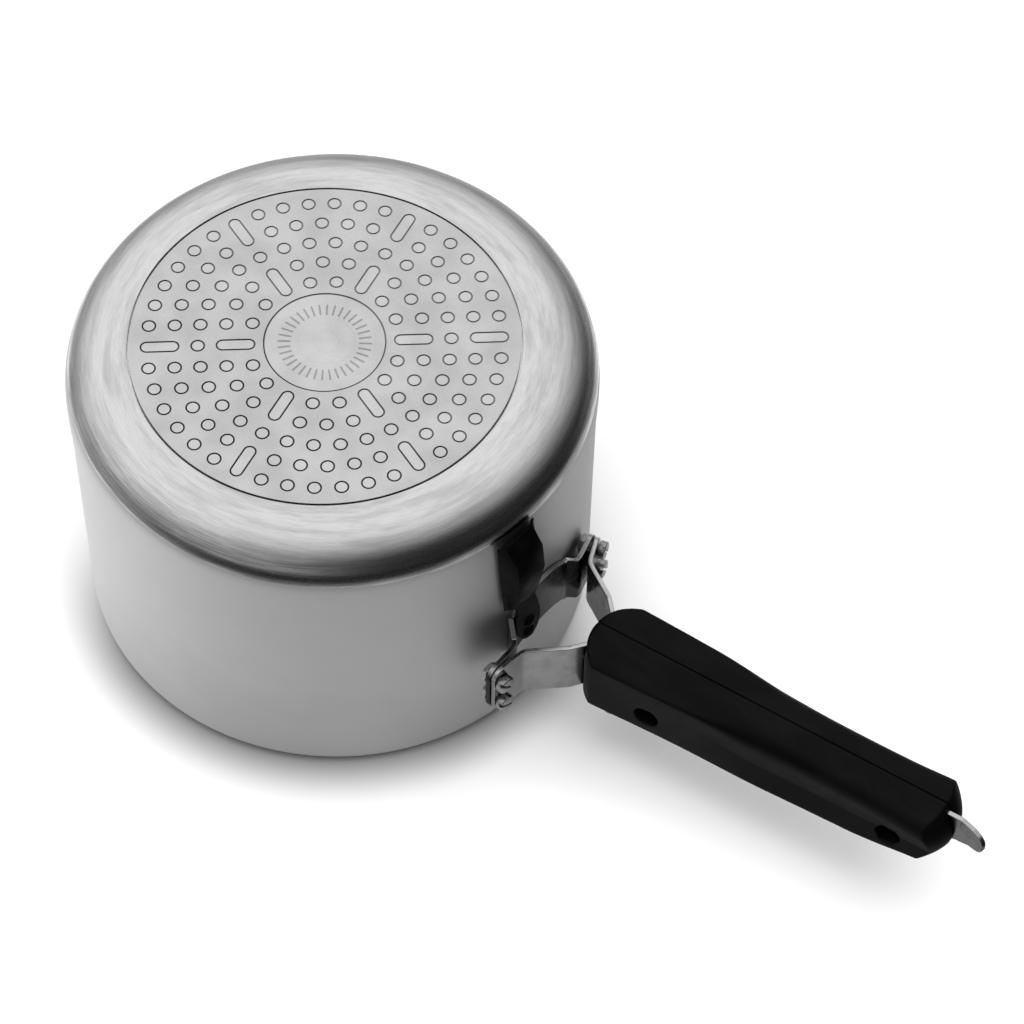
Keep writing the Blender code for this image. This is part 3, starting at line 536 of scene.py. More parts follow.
class Surface(Nodes):
    """A Principled material whose nodes read the place on the object."""

    def __init__(self, name, **constants):
        self.material = bpy.data.materials.new(name)
        self.material.use_nodes = True
        super().__init__(self.material.node_tree)
        self.shader = self.tree.nodes["Principled BSDF"]
        self.set(**constants)
        self.place = self.new("TexCoord").outputs["Object"]

    def set(self, **sockets):
        self.apply(self.shader, sockets)
        return self.material

    def stretched(self, x, y, z):
        """The place scaled by a factor along each axis."""
        return self.new("Mapping", self.place, Scale=(x, y, z)).outputs[0]

    def noise(self, vector, scale, detail=2.0, roughness=0.5, distortion=0.0):
        return self.new("TexNoise", vector, Scale=scale, Detail=detail, Roughness=roughness,
                        Distortion=distortion).outputs[0]

    def grey(self, level, tint=(1.0, 1.0, 1.0)):
        """A level as a colour with a tint."""
        return self.vector(*(self.times(level, t) if t != 1.0 else level for t in tint))

    def finish(self, level, rough, relief, strength, depth, tint=(1.0, 1.0, 1.0)):
        """Colour, roughness and a bump whose relief is depth deep."""
        bump = self.new("Bump", Height=relief, Strength=strength, Distance=depth).outputs[0]
        return self.set(Base_Color=self.grey(level, tint), Roughness=rough, Normal=bump)

    def round_axis(self):
        """Direction from the pot's axis (two values), distance from it and height."""
        x, y, z = self.split(self.place)
        square = self.add(self.times(x, x), self.times(y, y))
        distance = self.math("MAXIMUM", self.math("SQRT", square), MM)
        return self.math("DIVIDE", x, distance), self.math("DIVIDE", y, distance), distance, z

    def towards(self, east, north, direction):
        """How far a direction from the pot's axis points another way."""
        return self.add(self.times(east, direction[0]), self.times(north, direction[1]))


def pot_material():
    """Spun aluminium: a brushed base edge with dark streaks that are partly painted shade, and a
    satin wall below a sharp line.
    """
    s = Surface("pot_aluminium", Metallic=1.0, Anisotropic=0.45)
    east, north, distance, height = s.round_axis()
    along = s.math("SUBTRACT", distance, height)

    def brushing(round_scale, across_scale, detail, roughness):
        """Noise that is drawn out round the pot."""
        place = s.vector(s.times(east, round_scale), s.times(north, round_scale),
                         s.times(along, across_scale))
        return s.noise(place, 1.0, detail, roughness)

    streaks = brushing(5.0, 950.0, 4.0, 0.62)
    scratches = brushing(17.0, 3200.0, 3.0, 0.6)
    bands = brushing(2.6, 260.0, 3.0, 0.7)
    cloud = s.noise(s.place, 26.0)
    lean = s.towards(east, north, (EDGE_LEAN * cos(EDGE_LEAN_AZIMUTH),
                                   EDGE_LEAN * sin(EDGE_LEAN_AZIMUTH)))
    feather = s.times(s.math("SUBTRACT", scratches, 0.5), EDGE_FEATHER)
    brushed = s.remap(s.add(s.add(height, lean), feather), POLISH_EDGE_Z - EDGE_BLUR,
                      POLISH_EDGE_Z + EDGE_BLUR)
    # Dark streaks in an outer band of the base edge: streaky polish, and partly painted shade for
    # the dark band the edge reflects
    dark = s.times(s.remap(along, *STREAK_AND_SHADE_BAND), s.remap(streaks, 0.38, 0.62))
    brushed_level = s.times(s.blend(dark, *BRUSHED_LEVELS),
                            s.remap(scratches, 0.25, 0.75, 0.90, 1.04))
    brushed_level = s.times(brushed_level, s.remap(bands, 0.30, 0.62, 0.80, 1.03))
    level = s.blend(brushed, s.vary(cloud, *SATIN_LEVELS), brushed_level)
    rough = s.blend(brushed, s.vary(cloud, *SATIN_ROUGHNESS), s.vary(streaks, *BRUSHED_ROUGHNESS))
    relief = s.times(s.add(streaks, s.times(scratches, 0.6)), s.blend(brushed, 0.12, 1.0))
    s.set(Tangent=s.new("Tangent", direction_type="RADIAL", axis="Z").outputs[0])
    return s.finish(level, rough, relief, 0.22, 0.05 * MM)


def plate_material(name, level, rough):
    """Pressed plate: faint clouds, soft dents, a fine grain and painted shade in the grooves,
    darker on one side.
    """
    s = Surface(name, Metallic=1.0)
    _, north, height = s.split(s.place)
    cloud = s.noise(s.place, 55.0, 3.0, 0.55)
    grain = s.noise(s.place, 1400.0, 2.0, 0.6)
    dents = s.noise(s.place, 210.0)
    tone = s.times(s.vary(cloud, level - 0.05, level + 0.04), s.vary(grain, 0.96, 1.03))
    # Painted shade: the grooves are darkened, more on one side of the plate
    shade_across = s.add(north, s.times(s.math("SUBTRACT", cloud, 0.5), GROOVE_SHADE_DRIFT))
    painted_groove_shade = s.remap(shade_across, *GROOVE_SHADE_RANGE, *GROOVE_SHADE_LEVELS)
    tone = s.times(tone, s.blend(s.remap(height, *GROOVE_HEIGHTS), painted_groove_shade, 1.0))
    return s.finish(tone, s.vary(cloud, rough + 0.05, rough - 0.04),
                    s.add(dents, s.times(grain, 0.12)), 0.25, 0.12 * MM)


def strap_material(name, level, painted_highlight_level):
    """Plated strip: rolled lines, duller patches and a painted highlight on faces that point up.
    """
    s = Surface(name, Metallic=1.0)
    lines = s.noise(s.stretched(45.0, 45.0, 2600.0), 1.0, 3.0, 0.6)
    patches = s.noise(s.place, 140.0, 3.0, 0.6)
    tone = s.times(s.remap(patches, 0.35, 0.7, level, level * 0.8), s.vary(lines, 0.92, 1.04))
    upward = s.split(s.new("NewGeometry").outputs["Normal"])[2]
    # Painted highlight: faces that point up are lightened
    tone = s.blend(s.remap(upward, 0.35, 0.8), tone, painted_highlight_level)
    rough = s.add(s.remap(patches, 0.35, 0.75, 0.14, 0.27), s.vary(lines, 0.0, 0.06))
    return s.finish(tone, rough, lines, 0.12, 0.03 * MM, STEEL_TINT)


def fastener_material(name, level):
    """Plated fastener, or one darkened as painted shade: mottled, with small tool marks."""
    s = Surface(name, Metallic=1.0)
    mottle = s.noise(s.place, 620.0, 3.0, 0.6)
    marks = s.noise(s.stretched(1.0, 1.0, 0.25), 2600.0, 2.0, 0.6)
    tone = s.times(s.vary(mottle, level * 0.85, level * 1.1), s.vary(marks, 0.9, 1.05))
    return s.finish(tone, s.vary(mottle, 0.24, 0.38), marks, 0.2, 0.03 * MM, STEEL_TINT)


def phenolic_material():
    """Moulded phenolic: near black, a fine grain, flow clouds and a few rubbed patches."""
    s = Surface("black_phenolic", Specular_IOR_Level=0.08)
    flow = s.noise(s.stretched(1.0, 2.2, 2.2), 38.0, 4.0, 0.6, 0.6)
    rubbed = s.noise(s.place, 95.0, 3.0, 0.65)
    grain = s.noise(s.place, 3600.0, 2.0, 0.6)
    tone = s.remap(flow, 0.35, 0.7, *PHENOLIC_LEVELS)
    rough = s.add(s.remap(rubbed, 0.35, 0.7, 0.42, 0.33), s.vary(grain, -0.03, 0.03))
    relief = s.add(s.times(grain, 0.35), rubbed)
    return s.finish(tone, rough, relief, 0.16, 0.06 * MM, PHENOLIC_TINT)


def paint_material():
    """Heat-resistant black paint on sheet: orange peel and faint chalky clouds."""
    s = Surface("black_paint", Specular_IOR_Level=0.05)
    peel = s.noise(s.place, 1500.0)
    cloud = s.noise(s.place, 120.0, 3.0, 0.6)
    tone = s.remap(cloud, 0.35, 0.7, *PAINT_LEVELS)
    return s.finish(tone, s.vary(cloud, 0.34, 0.46), peel, 0.22, 0.05 * MM)


# ---- pot and plate

def superellipse(i, count):
    """Share of the way outwards and downwards along the rounded base."""
    angle = pi / 2 * (1 - i / count)
    across = cos(angle) ** (2 / BULGE_POWER) if i else 0.0
    down = 1 - sin(angle) ** (2 / BULGE_POWER) if i < count else 1.0
    return across, down


def plate_place():
    """The plate's centre, radius, lowest and highest level."""
    low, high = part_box("induction_plate")
    centre = ((low.x + high.x) / 2, (low.y + high.y) / 2)
    return centre, (high.x - low.x) / 2, low.z, high.z


def make_pot(material):
    """The shell: recess for the plate, rounded base, wall, turned-in rim and the inside."""
    centre, plate_radius, plate_foot, _ = plate_place()
    recess = plate_radius + RECESS_GROOVE
    recess_z = plate_foot - GAP
    rim_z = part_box("pot_body")[0].z
    edge = RECESS_EDGE
    rings = [(0.0, recess_z), (recess, recess_z), (recess, -edge),
             (recess + edge * 0.3, -edge * 0.3), (recess + edge, 0.0)]
    rings = [(radius, z, *centre) for radius, z in rings]
    for i in range(BULGE_STEPS + 1):
        across, down = superellipse(i, BULGE_STEPS)
        radius = BASE_FLAT_RADIUS + (BULGE_RADIUS - BASE_FLAT_RADIUS) * across
        rings.append((radius, -BULGE_DEPTH * down))
    wall_end = rim_z + RIM_ROUND
    for i in range(1, WALL_STEPS):
        z = -BULGE_DEPTH + (wall_end + BULGE_DEPTH) * i / WALL_STEPS
        wall = WALL_RADIUS_BASE + (WALL_RADIUS_RIM - WALL_RADIUS_BASE) * i / WALL_STEPS
        proud = (BULGE_RADIUS - WALL_RADIUS_BASE) * (1 - smooth((-BULGE_DEPTH - z) / BULGE_EASE))
        rings.append((wall + proud, z))
    rim = (WALL_RADIUS_RIM - RIM_ROUND, wall_end)
    rings += arc(rim, RIM_ROUND, 0, -90, 14)
    lip = WALL_THICKNESS / 2
    rings += arc((MOUTH_RADIUS + lip, rim_z + lip), lip, -90, -270, 10)
    rings += arc(rim, RIM_ROUND - WALL_THICKNESS, -90, 0, 8)
    inside_radius = WALL_RADIUS_BASE - WALL_THICKNESS
    rings += arc((inside_radius - FLOOR_ROUND, -BASE_THICKNESS - FLOOR_ROUND),
                 FLOOR_ROUND, 0, 90, 20)
    rings.append((0.0, -BASE_THICKNESS))
    pot = mesh_object("pot_shell", rings_mesh(rings, POT_STEPS), material, 28.0)
    finish_piece(pot, "pot_body")


def flat_piece(name, outlines, centre, low, high, material):
    """A flat piece with vertical sides between two heights, from nested outlines."""
    curve = bpy.data.curves.new(name, "CURVE")
    curve.dimensions = "2D"
    curve.fill_mode = "BOTH"
    curve.extrude = (high - low) / 2
    for outline in outlines:
        spline = curve.splines.new("POLY")
        spline.points.add(len(outline) - 1)
        for target, (x, y) in zip(spline.points, outline):
            target.co = (x + centre[0], y + centre[1], 0.0, 1.0)
        spline.use_cyclic_u = True
    source = add_object(name + "_outline", curve)
    source.location.z = (high + low) / 2
    bm = bmesh.new()
    bm.from_mesh(evaluated_mesh(source))
    bm.transform(source.matrix_world)
    bpy.data.objects.remove(source, do_unlink=True)
    return mesh_object(name, bm, material, 30.0)


def capsule(centre, direction, half_length, radius, count=12):
    """Outline of a slot with round ends."""
    side = Vector((-direction[1], direction[0]))
    along = Vector(direction)
    reach = half_length - radius
    points = []
    for sign in (1, -1):
        for i in range(count + 1):
            a = -pi / 2 + pi * i / count
            spot = (along * sign * (reach + radius * cos(a))
                    + side * sign * radius * sin(a))
            points.append((centre[0] + spot.x, centre[1] + spot.y))
    return points


def circle(centre, radius, count=36):
    return arc(centre, radius, 0, 360 * (count - 1) / count, count - 1)


def plate_marks(radius, grow):
    """Outlines of the dots and slots, each grown by half a groove."""
    def spot(ring, angle):
        return radius * ring * cos(angle), radius * ring * sin(angle)

    outlines = []
    sector = 2 * pi / SECTORS
    for k in range(SECTORS):
        slot = SLOT_AZIMUTH + k * sector
        for ring, between, at_slot in DOT_RINGS:
            outlines += [circle(spot(ring, slot + sector * i / (between + 1)), DOT_RADIUS + grow)
                         for i in range(0 if at_slot else 1, between + 1)]
        outlines += [capsule(spot(ring, slot), (cos(slot), sin(slot)), SLOT_HALF_LENGTH + grow,
                             SLOT_HALF_WIDTH + grow) for ring in SLOT_RING_RADII]
    return outlines


def make_plate(sheet_material, core_material, stamp_material):
    """A perforated sheet, pressed into the base, with the core showing through its holes."""
    centre, radius, foot, top = plate_place()
    medallion = radius * MEDALLION_RADIUS
    sheet_low = top - SHEET_THICKNESS
    half_groove = GROOVE_WIDTH / 2
    outlines = [circle((0, 0), radius, 180), circle((0, 0), medallion, 90)]
    outlines += plate_marks(radius, half_groove)
    sheet = flat_piece("plate_sheet", outlines, centre, sheet_low + 0.01 * MM, top,
                       sheet_material)
    islands = flat_piece("plate_core_marks", plate_marks(radius, -half_groove), centre,
                         sheet_low - 0.05 * MM, top - 0.02 * MM, core_material)
    core = [(0.0, foot), (radius - 0.1 * MM, foot), (radius - 0.1 * MM, sheet_low)]
    core += medallion_rings(medallion, sheet_low, top)
    core = [(r, z, *centre) for r, z in reversed(core)]
    disc = mesh_object("plate_core", rings_mesh(core, 120), core_material, 40.0)
    ticks = []
    for i in range(MEDALLION_TICKS):
        direction = radial(2 * pi * i / MEDALLION_TICKS)
        spot = direction * medallion * TICK_RING
        ticks.append(capsule(spot, direction[:2], TICK_HALF_LENGTH, TICK_HALF_WIDTH, 6))
    stamp = flat_piece("plate_ticks", ticks, centre, sheet_low, top - TICK_SUNK, stamp_material)
    for piece in (sheet, islands, disc, stamp):
        finish_piece(piece, "induction_plate")


def medallion_rings(radius, groove_z, top_z):
    """Raised middle disc with plain concentric beads, from its groove to the centre."""
    level = top_z - MEDALLION_SUNK
    rings = [(radius - 0.45 * MM, groove_z), (radius - 0.55 * MM, level - 0.04 * MM),
             (radius - 0.75 * MM, level)]
    for share, width in BEADS:
        rings += [(radius * share - step * width, level + lift * BEAD_HEIGHT)
                  for step, lift in BEAD_PROFILE]
    return sorted(rings, key=lambda ring: -ring[0]) + [(0.0, level)]


# ---- bracket straps

def fillet_path(points, radius):
    """Round the inner corners of a path; the other values of a point are kept."""
    path = [points[0]]
    for before, corner, after in zip(points, points[1:], points[2:]):
        here = Vector(corner[:2])
        to_before = Vector(before[:2]) - here
        to_after = Vector(after[:2]) - here
        turn = pi - to_before.angle(to_after)
        if turn < radians(3):
            path.append(corner)
            continue
        reach = min(radius * tan(turn / 2), to_before.length * 0.45,
                    to_after.length * 0.45)
        start = here + to_before.normalized() * reach
        end = here + to_after.normalized() * reach
        path += [(*bend(start, here, end, i / FILLET_STEPS), *corner[2:])
                 for i in range(FILLET_STEPS + 1)]
    path.append(points[-1])
    return path


def strap(name, path, corners, material):
    """A bevelled strip of sheet along a plan path; each point has its top and bottom."""
    bm = bmesh.new()
    top = [bm.verts.new((x, y, high)) for x, y, high, low in path]
    bottom = [bm.verts.new((x, y, low)) for x, y, high, low in path]
    for i in range(len(path) - 1):
        bm.faces.new((top[i], top[i + 1], bottom[i + 1], bottom[i]))
    for index, radius in corners:
        bmesh.ops.bevel(bm, geom=[top[index], bottom[index]], offset=radius, segments=10,
                        profile=0.5, affect="VERTICES")
    piece = mesh_object(name, bm, material)
    return thicken(piece, STRAP_THICKNESS, STRAP_EDGE, 3)


def make_saddle(material):
    """A strap that hugs the wall, arches up in its middle and ends in two ears."""
    low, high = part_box("saddle_strap")
    ear_top = high.z - SADDLE_RISE
    radius = WALL_AT_BRACKET + GAP + STRAP_THICKNESS / 2
    hug = []
    for i in range(SADDLE_STEPS + 1):
        turn = SADDLE_ARC_HALF * (2 * i / SADDLE_STEPS - 1)
        angle = SADDLE_ANGLE + turn
        rise = SADDLE_RISE * (1 - (turn / SADDLE_ARCH_HALF) ** 2)
        hug.append((radius * cos(angle), radius * sin(angle),
                    ear_top + rise, low.z + rise))
    knee_x, knee_y = SADDLE_KNEE
    left, right = ([(SADDLE_EAR_X, SEAM_Y + EAR_SHIFT + side * EAR_HALF_SPAN, ear_top, low.z),
                    (knee_x, SEAM_Y + side * knee_y, ear_top, low.z)] for side in (-1, 1))
    saddle = strap("saddle_strip", fillet_path(left + hug + right[::-1], SADDLE_FILLET),
                   [(0, EAR_CORNER), (-1, EAR_CORNER)], material)
    finish_piece(saddle, "saddle_strap")


def make_yoke(side, word, material):
    """An ear, a bowed arm and a core strip in the handle; the left one ends in the catch tab."""
    low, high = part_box(f"yoke_{word}")
    bend_x, bend_y = YOKE_BEND
    plan = [(YOKE_EAR_X, EAR_HALF_SPAN + side * EAR_SHIFT),
            (bend_x, bend_y + side * EAR_SHIFT / 2), YOKE_BOW, YOKE_ROOT]
    points = [(x, SEAM_Y + side * y, high.z, low.z) for x, y in plan]
    core_y = SEAM_Y + side * CORE_Y
    points += [(CORE_START_X, core_y, high.z - 0.5 * MM, low.z + 0.5 * MM),
               (CORE_NARROW_X, core_y, *CORE_HEIGHTS), (CORE_END_X, core_y, *CORE_HEIGHTS)]
    corners = [(0, EAR_CORNER)]
    if side < 0:
        points += [(x * MM, SEAM_Y + y * MM, top * MM, foot * MM)
                   for x, y, top, foot in TAB_POINTS]
        corners.append((-1, TAB_CORNER))
    yoke = strap(f"yoke_strip_{word}", fillet_path(points, YOKE_FILLET), corners, material)
    finish_piece(yoke, f"yoke_{word}")


# ---- fasteners

def slotted_head(name, radius, height, place, shank_radius, shank_length, turn, material):
    """A cheese-head screw: domed top with rolled edges, a slot and a plain shank."""
    top = height + HEAD_DOME
    profile = [(0.0, top), (radius * 0.45, height + HEAD_DOME * 0.86),
               (radius * 0.75, height + HEAD_DOME * 0.48)]
    profile += arc((radius - HEAD_EDGE, height - HEAD_EDGE), HEAD_EDGE, 68, 0, 5)
    profile += arc((radius - HEAD_FOOT, HEAD_FOOT), HEAD_FOOT, 0, -90, 3)
    profile += [(shank_radius, 0.0), (shank_radius, -shank_length + SHANK_CHAMFER),
                (shank_radius - SHANK_CHAMFER, -shank_length), (0.0, -shank_length)]
    screw = mesh_object(name, rings_mesh(profile, 56, place), material)
    bm = bmesh.new()
    bmesh.ops.create_cube(bm, size=1.0)
    size = Matrix.Diagonal((4 * radius, SLOT_WIDTH, 2 * SLOT_DEPTH, 1))
    bm.transform(place @ Matrix.Translation((0, 0, height + HEAD_DOME * 0.5))
                 @ Matrix.Rotation(turn, 4, "Z") @ size)
    add_cut(screw, mesh_object(name + "_slot", bm, None))
    apply_modifiers(screw)
    add_bevel(screw, SLOT_BEVEL, 2, 40.0)
    return apply_modifiers(screw, 40.0)


def hex_nut(name, flats, height, bore, place, material):
    """A hexagon nut with chamfered corners on both faces."""
    sixth = pi / 3
    share, slope = NUT_CHAMFER

    def outline(limit):
        """The hexagon's radius at an angle, with its corners turned down to a limit."""
        return lambda a: min(flats / cos((a + sixth / 2) % sixth - sixth / 2), limit)

    rings = [(bore, 0.0)]
    for lift in (0.0, 0.06, 0.16, 0.30, 0.5, 0.70, 0.84, 0.94, 1.0):
        inwards = min(lift, 1 - lift) * height
        rings.append((outline(flats * share + inwards * slope), lift * height))
    rings.append((bore, height))
    return mesh_object(name, rings_mesh(rings, HEX_STEPS, place), material, 24.0)


def make_ear_fasteners(side, word, material):
    """Two slotted screws and their nuts clamp a yoke ear to a saddle ear."""
    axis = Vector((cos(SCREW_SWEEP), side * sin(SCREW_SWEEP), 0))
    grip = STRAP_THICKNESS + GAP / 2 + SCREW_HEAD_GAP
    middle = (SADDLE_EAR_X + YOKE_EAR_X) / 2
    inset = (EAR_HALF_SPAN - SCREW_Y) * tan(SCREW_SWEEP)
    for number, place in enumerate(("upper", "lower")):
        end = f"{word}_{place}"
        height = box_centre(f"ear_screw_{end}").z
        point = Vector((middle + inset, SEAM_Y + EAR_SHIFT + side * SCREW_Y, height))
        screw = slotted_head(f"cheese_screw_{end}", *SCREW_HEAD,
                             placed(point + axis * grip, axis), SCREW_RADIUS,
                             2 * grip + NUT_HEIGHT + SHANK_CHAMFER,
                             SLOT_TURN + SLOT_TURN_STEP * number, material)
        finish_piece(screw, f"ear_screw_{end}")
        start = placed(point - axis * (grip + NUT_HEIGHT), axis)
        nut = hex_nut(f"hex_nut_{end}", NUT_FLATS, NUT_HEIGHT, SCREW_RADIUS + BORE_PLAY, start,
                      material)
        finish_piece(nut, f"ear_nut_{end}")


def make_rivets(material):
    """Domed rivets through the guard's tongue, the saddle and the pot wall."""
    outside = WALL_AT_BRACKET + GUARD_STAND_OFF + GUARD_THICKNESS / 2 + SEAT_PLAY
    inside = WALL_RADIUS_RIM - WALL_THICKNESS - SEAT_PLAY
    for number in (1, 2):
        profile = arc((0.0, outside), RIVET_HEAD_RADIUS, 90, 0, 12, RIVET_HEAD_HEIGHT)
        profile[0] = (0.0, outside + RIVET_HEAD_HEIGHT)
        profile += [(RIVET_RADIUS, outside), (RIVET_RADIUS, inside),
                    (RIVET_TAIL_RADIUS, inside), (RIVET_TAIL_RADIUS, inside - 0.5 * MM),
                    (RIVET_HEAD_RADIUS, inside - 1.1 * MM), (0.0, inside - 1.2 * MM)]
        height = box_centre(f"saddle_rivet_{number}").z
        place = placed((0, 0, height), radial(GUARD_ANGLE))
        rivet = mesh_object(f"domed_rivet_{number}", rings_mesh(profile, 40, place), material)
        finish_piece(rivet, f"saddle_rivet_{number}")


def make_handle_fasteners(material):
    """Two cross bolts with their nuts, deep in the handle's side pockets."""
    for word, head_side in (("front", -1), ("rear", 1)):
        spot = box_centre(f"handle_nut_{word}")
        seat = BOLT_SEAT_Y + SEAT_PLAY
        start = Vector((spot.x, SEAM_Y + head_side * seat, spot.z))
        bolt = slotted_head(f"pan_bolt_{word}", *BOLT_HEAD, placed(start, Y_AXIS * head_side),
                            BOLT_RADIUS, 2 * seat + BOLT_NUT_HEIGHT + BOLT_PAST_NUT,
                            BOLT_SLOT_TURN, material)
        finish_piece(bolt, f"handle_bolt_{word}")
        base = Vector((spot.x, SEAM_Y - head_side * seat, spot.z))
        nut = hex_nut(f"cross_nut_{word}", BOLT_NUT_FLATS, BOLT_NUT_HEIGHT,
                      BOLT_RADIUS + BORE_PLAY, placed(base, -Y_AXIS * head_side), material)
        finish_piece(nut, f"handle_nut_{word}")


def make_studs(material):
    """Domed studs under the pot end of the handle."""
    for word in ("left", "right"):
        low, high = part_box(f"rest_stud_{word}")
        centre = (low + high) / 2
        seat = HANDLE_BOTTOM - SEAT_PLAY
        dome = arc((0.0, seat), STUD_HEAD_RADIUS, 0, -90, 16, seat - low.z)
        dome[-1] = (0.0, low.z)
        profile = [(0.0, high.z), (STUD_SHANK_RADIUS, high.z), (STUD_SHANK_RADIUS, seat)]
        place = Matrix.Translation((centre.x, centre.y, 0))
        stud = mesh_object(f"domed_stud_{word}", rings_mesh(profile + dome, 48, place), material)
        finish_piece(stud, f"rest_stud_{word}")


# ---- flame guard

def guard_row(bm, height, *points):
    """Points of one row across the guard, each a distance off the axis and one to the side."""
    outward = radial(GUARD_ANGLE)
    across = radial(GUARD_ANGLE + pi / 2)
    return [bm.verts.new(outward * off + across * aside + Z_AXIS * (height * MM))
            for off, aside in points]


def make_guard(material):
    """A folded hood whose middle face runs on as a round-ended tongue over the saddle."""
    bm = bmesh.new()
    rows = []
    for height, face, edge in GUARD_FOLDS:
        front = WALL_AT_BRACKET + face * MM
        rim = sqrt((WALL_AT_BRACKET + edge * MM) ** 2 - GUARD_HALF_WIDTH ** 2)
        rows.append(guard_row(bm, height, (rim, -GUARD_HALF_WIDTH), (front, -GUARD_HALF_FACE),
                              (front, GUARD_HALF_FACE), (rim, GUARD_HALF_WIDTH)))
    front = WALL_AT_BRACKET + GUARD_STAND_OFF
    for height, half in TONGUE_OUTLINE:
        row = guard_row(bm, height, (front, -half * MM), (front, half * MM))
        rows.append([None, *row, None])
    for upper, lower in zip(rows, rows[1:]):
        for i in range(3):
            corners = (upper[i], upper[i + 1], lower[i + 1], lower[i])
            if all(corners):
                bm.faces.new(corners)
    pivot = Matrix.Translation((0, 0, GUARD_PIVOT_Z))
    lean = Matrix.Rotation(GUARD_LEAN, 4, radial(GUARD_ANGLE))
    bm.transform(pivot @ lean @ pivot.inverted())
    folds = [e for e in bm.edges if len(e.link_faces) == 2
             and e.calc_face_angle() > radians(4)]
    bmesh.ops.bevel(bm, geom=folds, offset=GUARD_FOLD_ROUND, segments=4, profile=0.5,
                    affect="EDGES")
    guard = thicken(mesh_object("folded_guard", bm, material), GUARD_THICKNESS, GUARD_EDGE, 2)
    finish_piece(guard, "flame_guard")


# ---- handle

def handle_section(x):
    """Half section of the handle: (distance from the seam plane, height), seam to seam."""
    shoulder = table_value(HANDLE_PLAN, x / MM, 1) * MM
    foot = table_value(HANDLE_PLAN, x / MM, 2) * MM
    grip = smooth((x - GRIP_START_X) / (GRIP_FULL_X - GRIP_START_X))
    rise = HANDLE_TIP_RISE * smooth((x - TIP_RISE_X) / (HANDLE_END_X - TIP_RISE_X))
    bottom = HANDLE_BOTTOM + rise
    ledge = HANDLE_TOP - HANDLE_CROWN
    rounding = (SHOULDER_ROUND[0] + SHOULDER_ROUND[1] * grip) * MM
    points = [(HANDLE_SEAM_GAP, HANDLE_TOP)]
    for i in range(1, 10):
        y = (shoulder - rounding) * i / 9
        points.append((y, HANDLE_TOP - HANDLE_CROWN * (y / shoulder) ** CROWN_POWER))
    crease_z = ledge - SHOULDER_DROP + (GRIP_HEIGHT - ledge + SHOULDER_DROP) * grip
    drop = (ledge - crease_z) / (ledge - bottom)
    crease = (shoulder + (foot - shoulder) * drop - GRIP_DEPTH * grip, crease_z)
    below = (shoulder - GRIP_DEPTH * grip * 0.3, ledge - rounding * 1.3)
    start = Vector(points[-1])
    corner = Vector((shoulder, ledge + 0.1 * MM))
    points += [bend(start, corner, Vector(below), i / 7)[:] for i in range(1, 8)]
    points += [between(below, crease, i / 5) for i in range(1, 6)]
    heel = HEEL_ROUND
    points += [between(crease, (foot, bottom + heel), i / 4) for i in range(1, 4)]
    points += arc((foot - heel, bottom + heel), heel, 0, -90, 5)
    points.append((HANDLE_SEAM_GAP, bottom))
    return points


def end_cutter(name, surface, far_x):
    """What lies beyond a curved end face x = surface(y, z) of the handle."""
    bm = bmesh.new()
    top, foot = HANDLE_TOP + CUTTER_MARGIN, HANDLE_BOTTOM - CUTTER_MARGIN
    near, far = [], []
    for i in range(CUTTER_STEPS + 1):
        y = -CUTTER_REACH + 2 * CUTTER_REACH * i / CUTTER_STEPS
        line = [(y, foot + (top - foot) * j / CUTTER_STEPS) for j in range(CUTTER_STEPS + 1)]
        near.append([bm.verts.new((surface(a, b), SEAM_Y + a, b)) for a, b in line])
        far.append([bm.verts.new((far_x, SEAM_Y + a, b)) for a, b in line])
    for grid in (near, far):
        for left, right in zip(grid, grid[1:]):
            for j in range(CUTTER_STEPS):
                bm.faces.new((left[j], right[j], right[j + 1], left[j + 1]))

    def rim(grid):
        return ([column[0] for column in grid[:-1]] + grid[-1][:-1]
                + [column[-1] for column in grid[:0:-1]] + grid[0][:0:-1])

    bridge(bm, [rim(near), rim(far)])
    return mesh_object(name, bm, None)


def front_surface(y, z):
    """The pot end: an upright arc whose top and bottom edges roll over."""
    across = min(abs(y), FRONT_ARC_RADIUS * 0.97)
    x = HANDLE_FRONT_X + FRONT_ARC_RADIUS - sqrt(FRONT_ARC_RADIUS ** 2 - across ** 2)
    x += y * FRONT_SKEW + max(z - FRONT_SLOPE_Z, 0.0) * FRONT_SLOPE
    over = max(z - (HANDLE_TOP - FRONT_ROLL), HANDLE_BOTTOM + FRONT_ROLL - z, 0.0) / FRONT_ROLL
    return x + FRONT_ROLL * (1 - sqrt(1 - min(over, 0.98) ** 2))


def end_surface(y, z):
    """The far end: a shallow dome."""
    return (HANDLE_END_X - y * y / (2 * END_ARC_RADIUS)
            - (z - END_DOME_Z) ** 2 / (2 * END_DOME_RADIUS))


def pocket(name, side, outline, low, high):
    """An upright prism beside the handle's seam."""
    bm = bmesh.new()
    face = bm.faces.new([bm.verts.new((x, SEAM_Y + side * y, low)) for x, y in outline])
    lift = bmesh.ops.extrude_face_region(bm, geom=[face])
    risen = [item for item in lift["geom"] if isinstance(item, bmesh.types.BMVert)]
    bmesh.ops.translate(bm, verts=risen, vec=(0, 0, high - low))
    return mesh_object(f"{name}_{side}", bm, None)


def yoke_pocket(side):
    """The mouth at the pot end, where the yoke arms converge."""
    low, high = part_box("yoke_right")
    reach = STRAP_THICKNESS / 2 + POCKET_PLAY
    start, end = HANDLE_FRONT_X - 10 * MM, CORE_NARROW_X + 1 * MM
    outline = [(start, -POCKET_OVERLAP), (start, YOKE_BOW[1] + 9 * MM),
               (YOKE_ROOT[0] + reach, YOKE_ROOT[1] + reach),
               (CORE_START_X + 1.5 * reach, CORE_Y + 1.2 * reach),
               (end, CORE_Y + 1.1 * reach), (end, -POCKET_OVERLAP)]
    return pocket("yoke_pocket", side, outline, low.z - POCKET_PLAY, high.z + POCKET_PLAY)


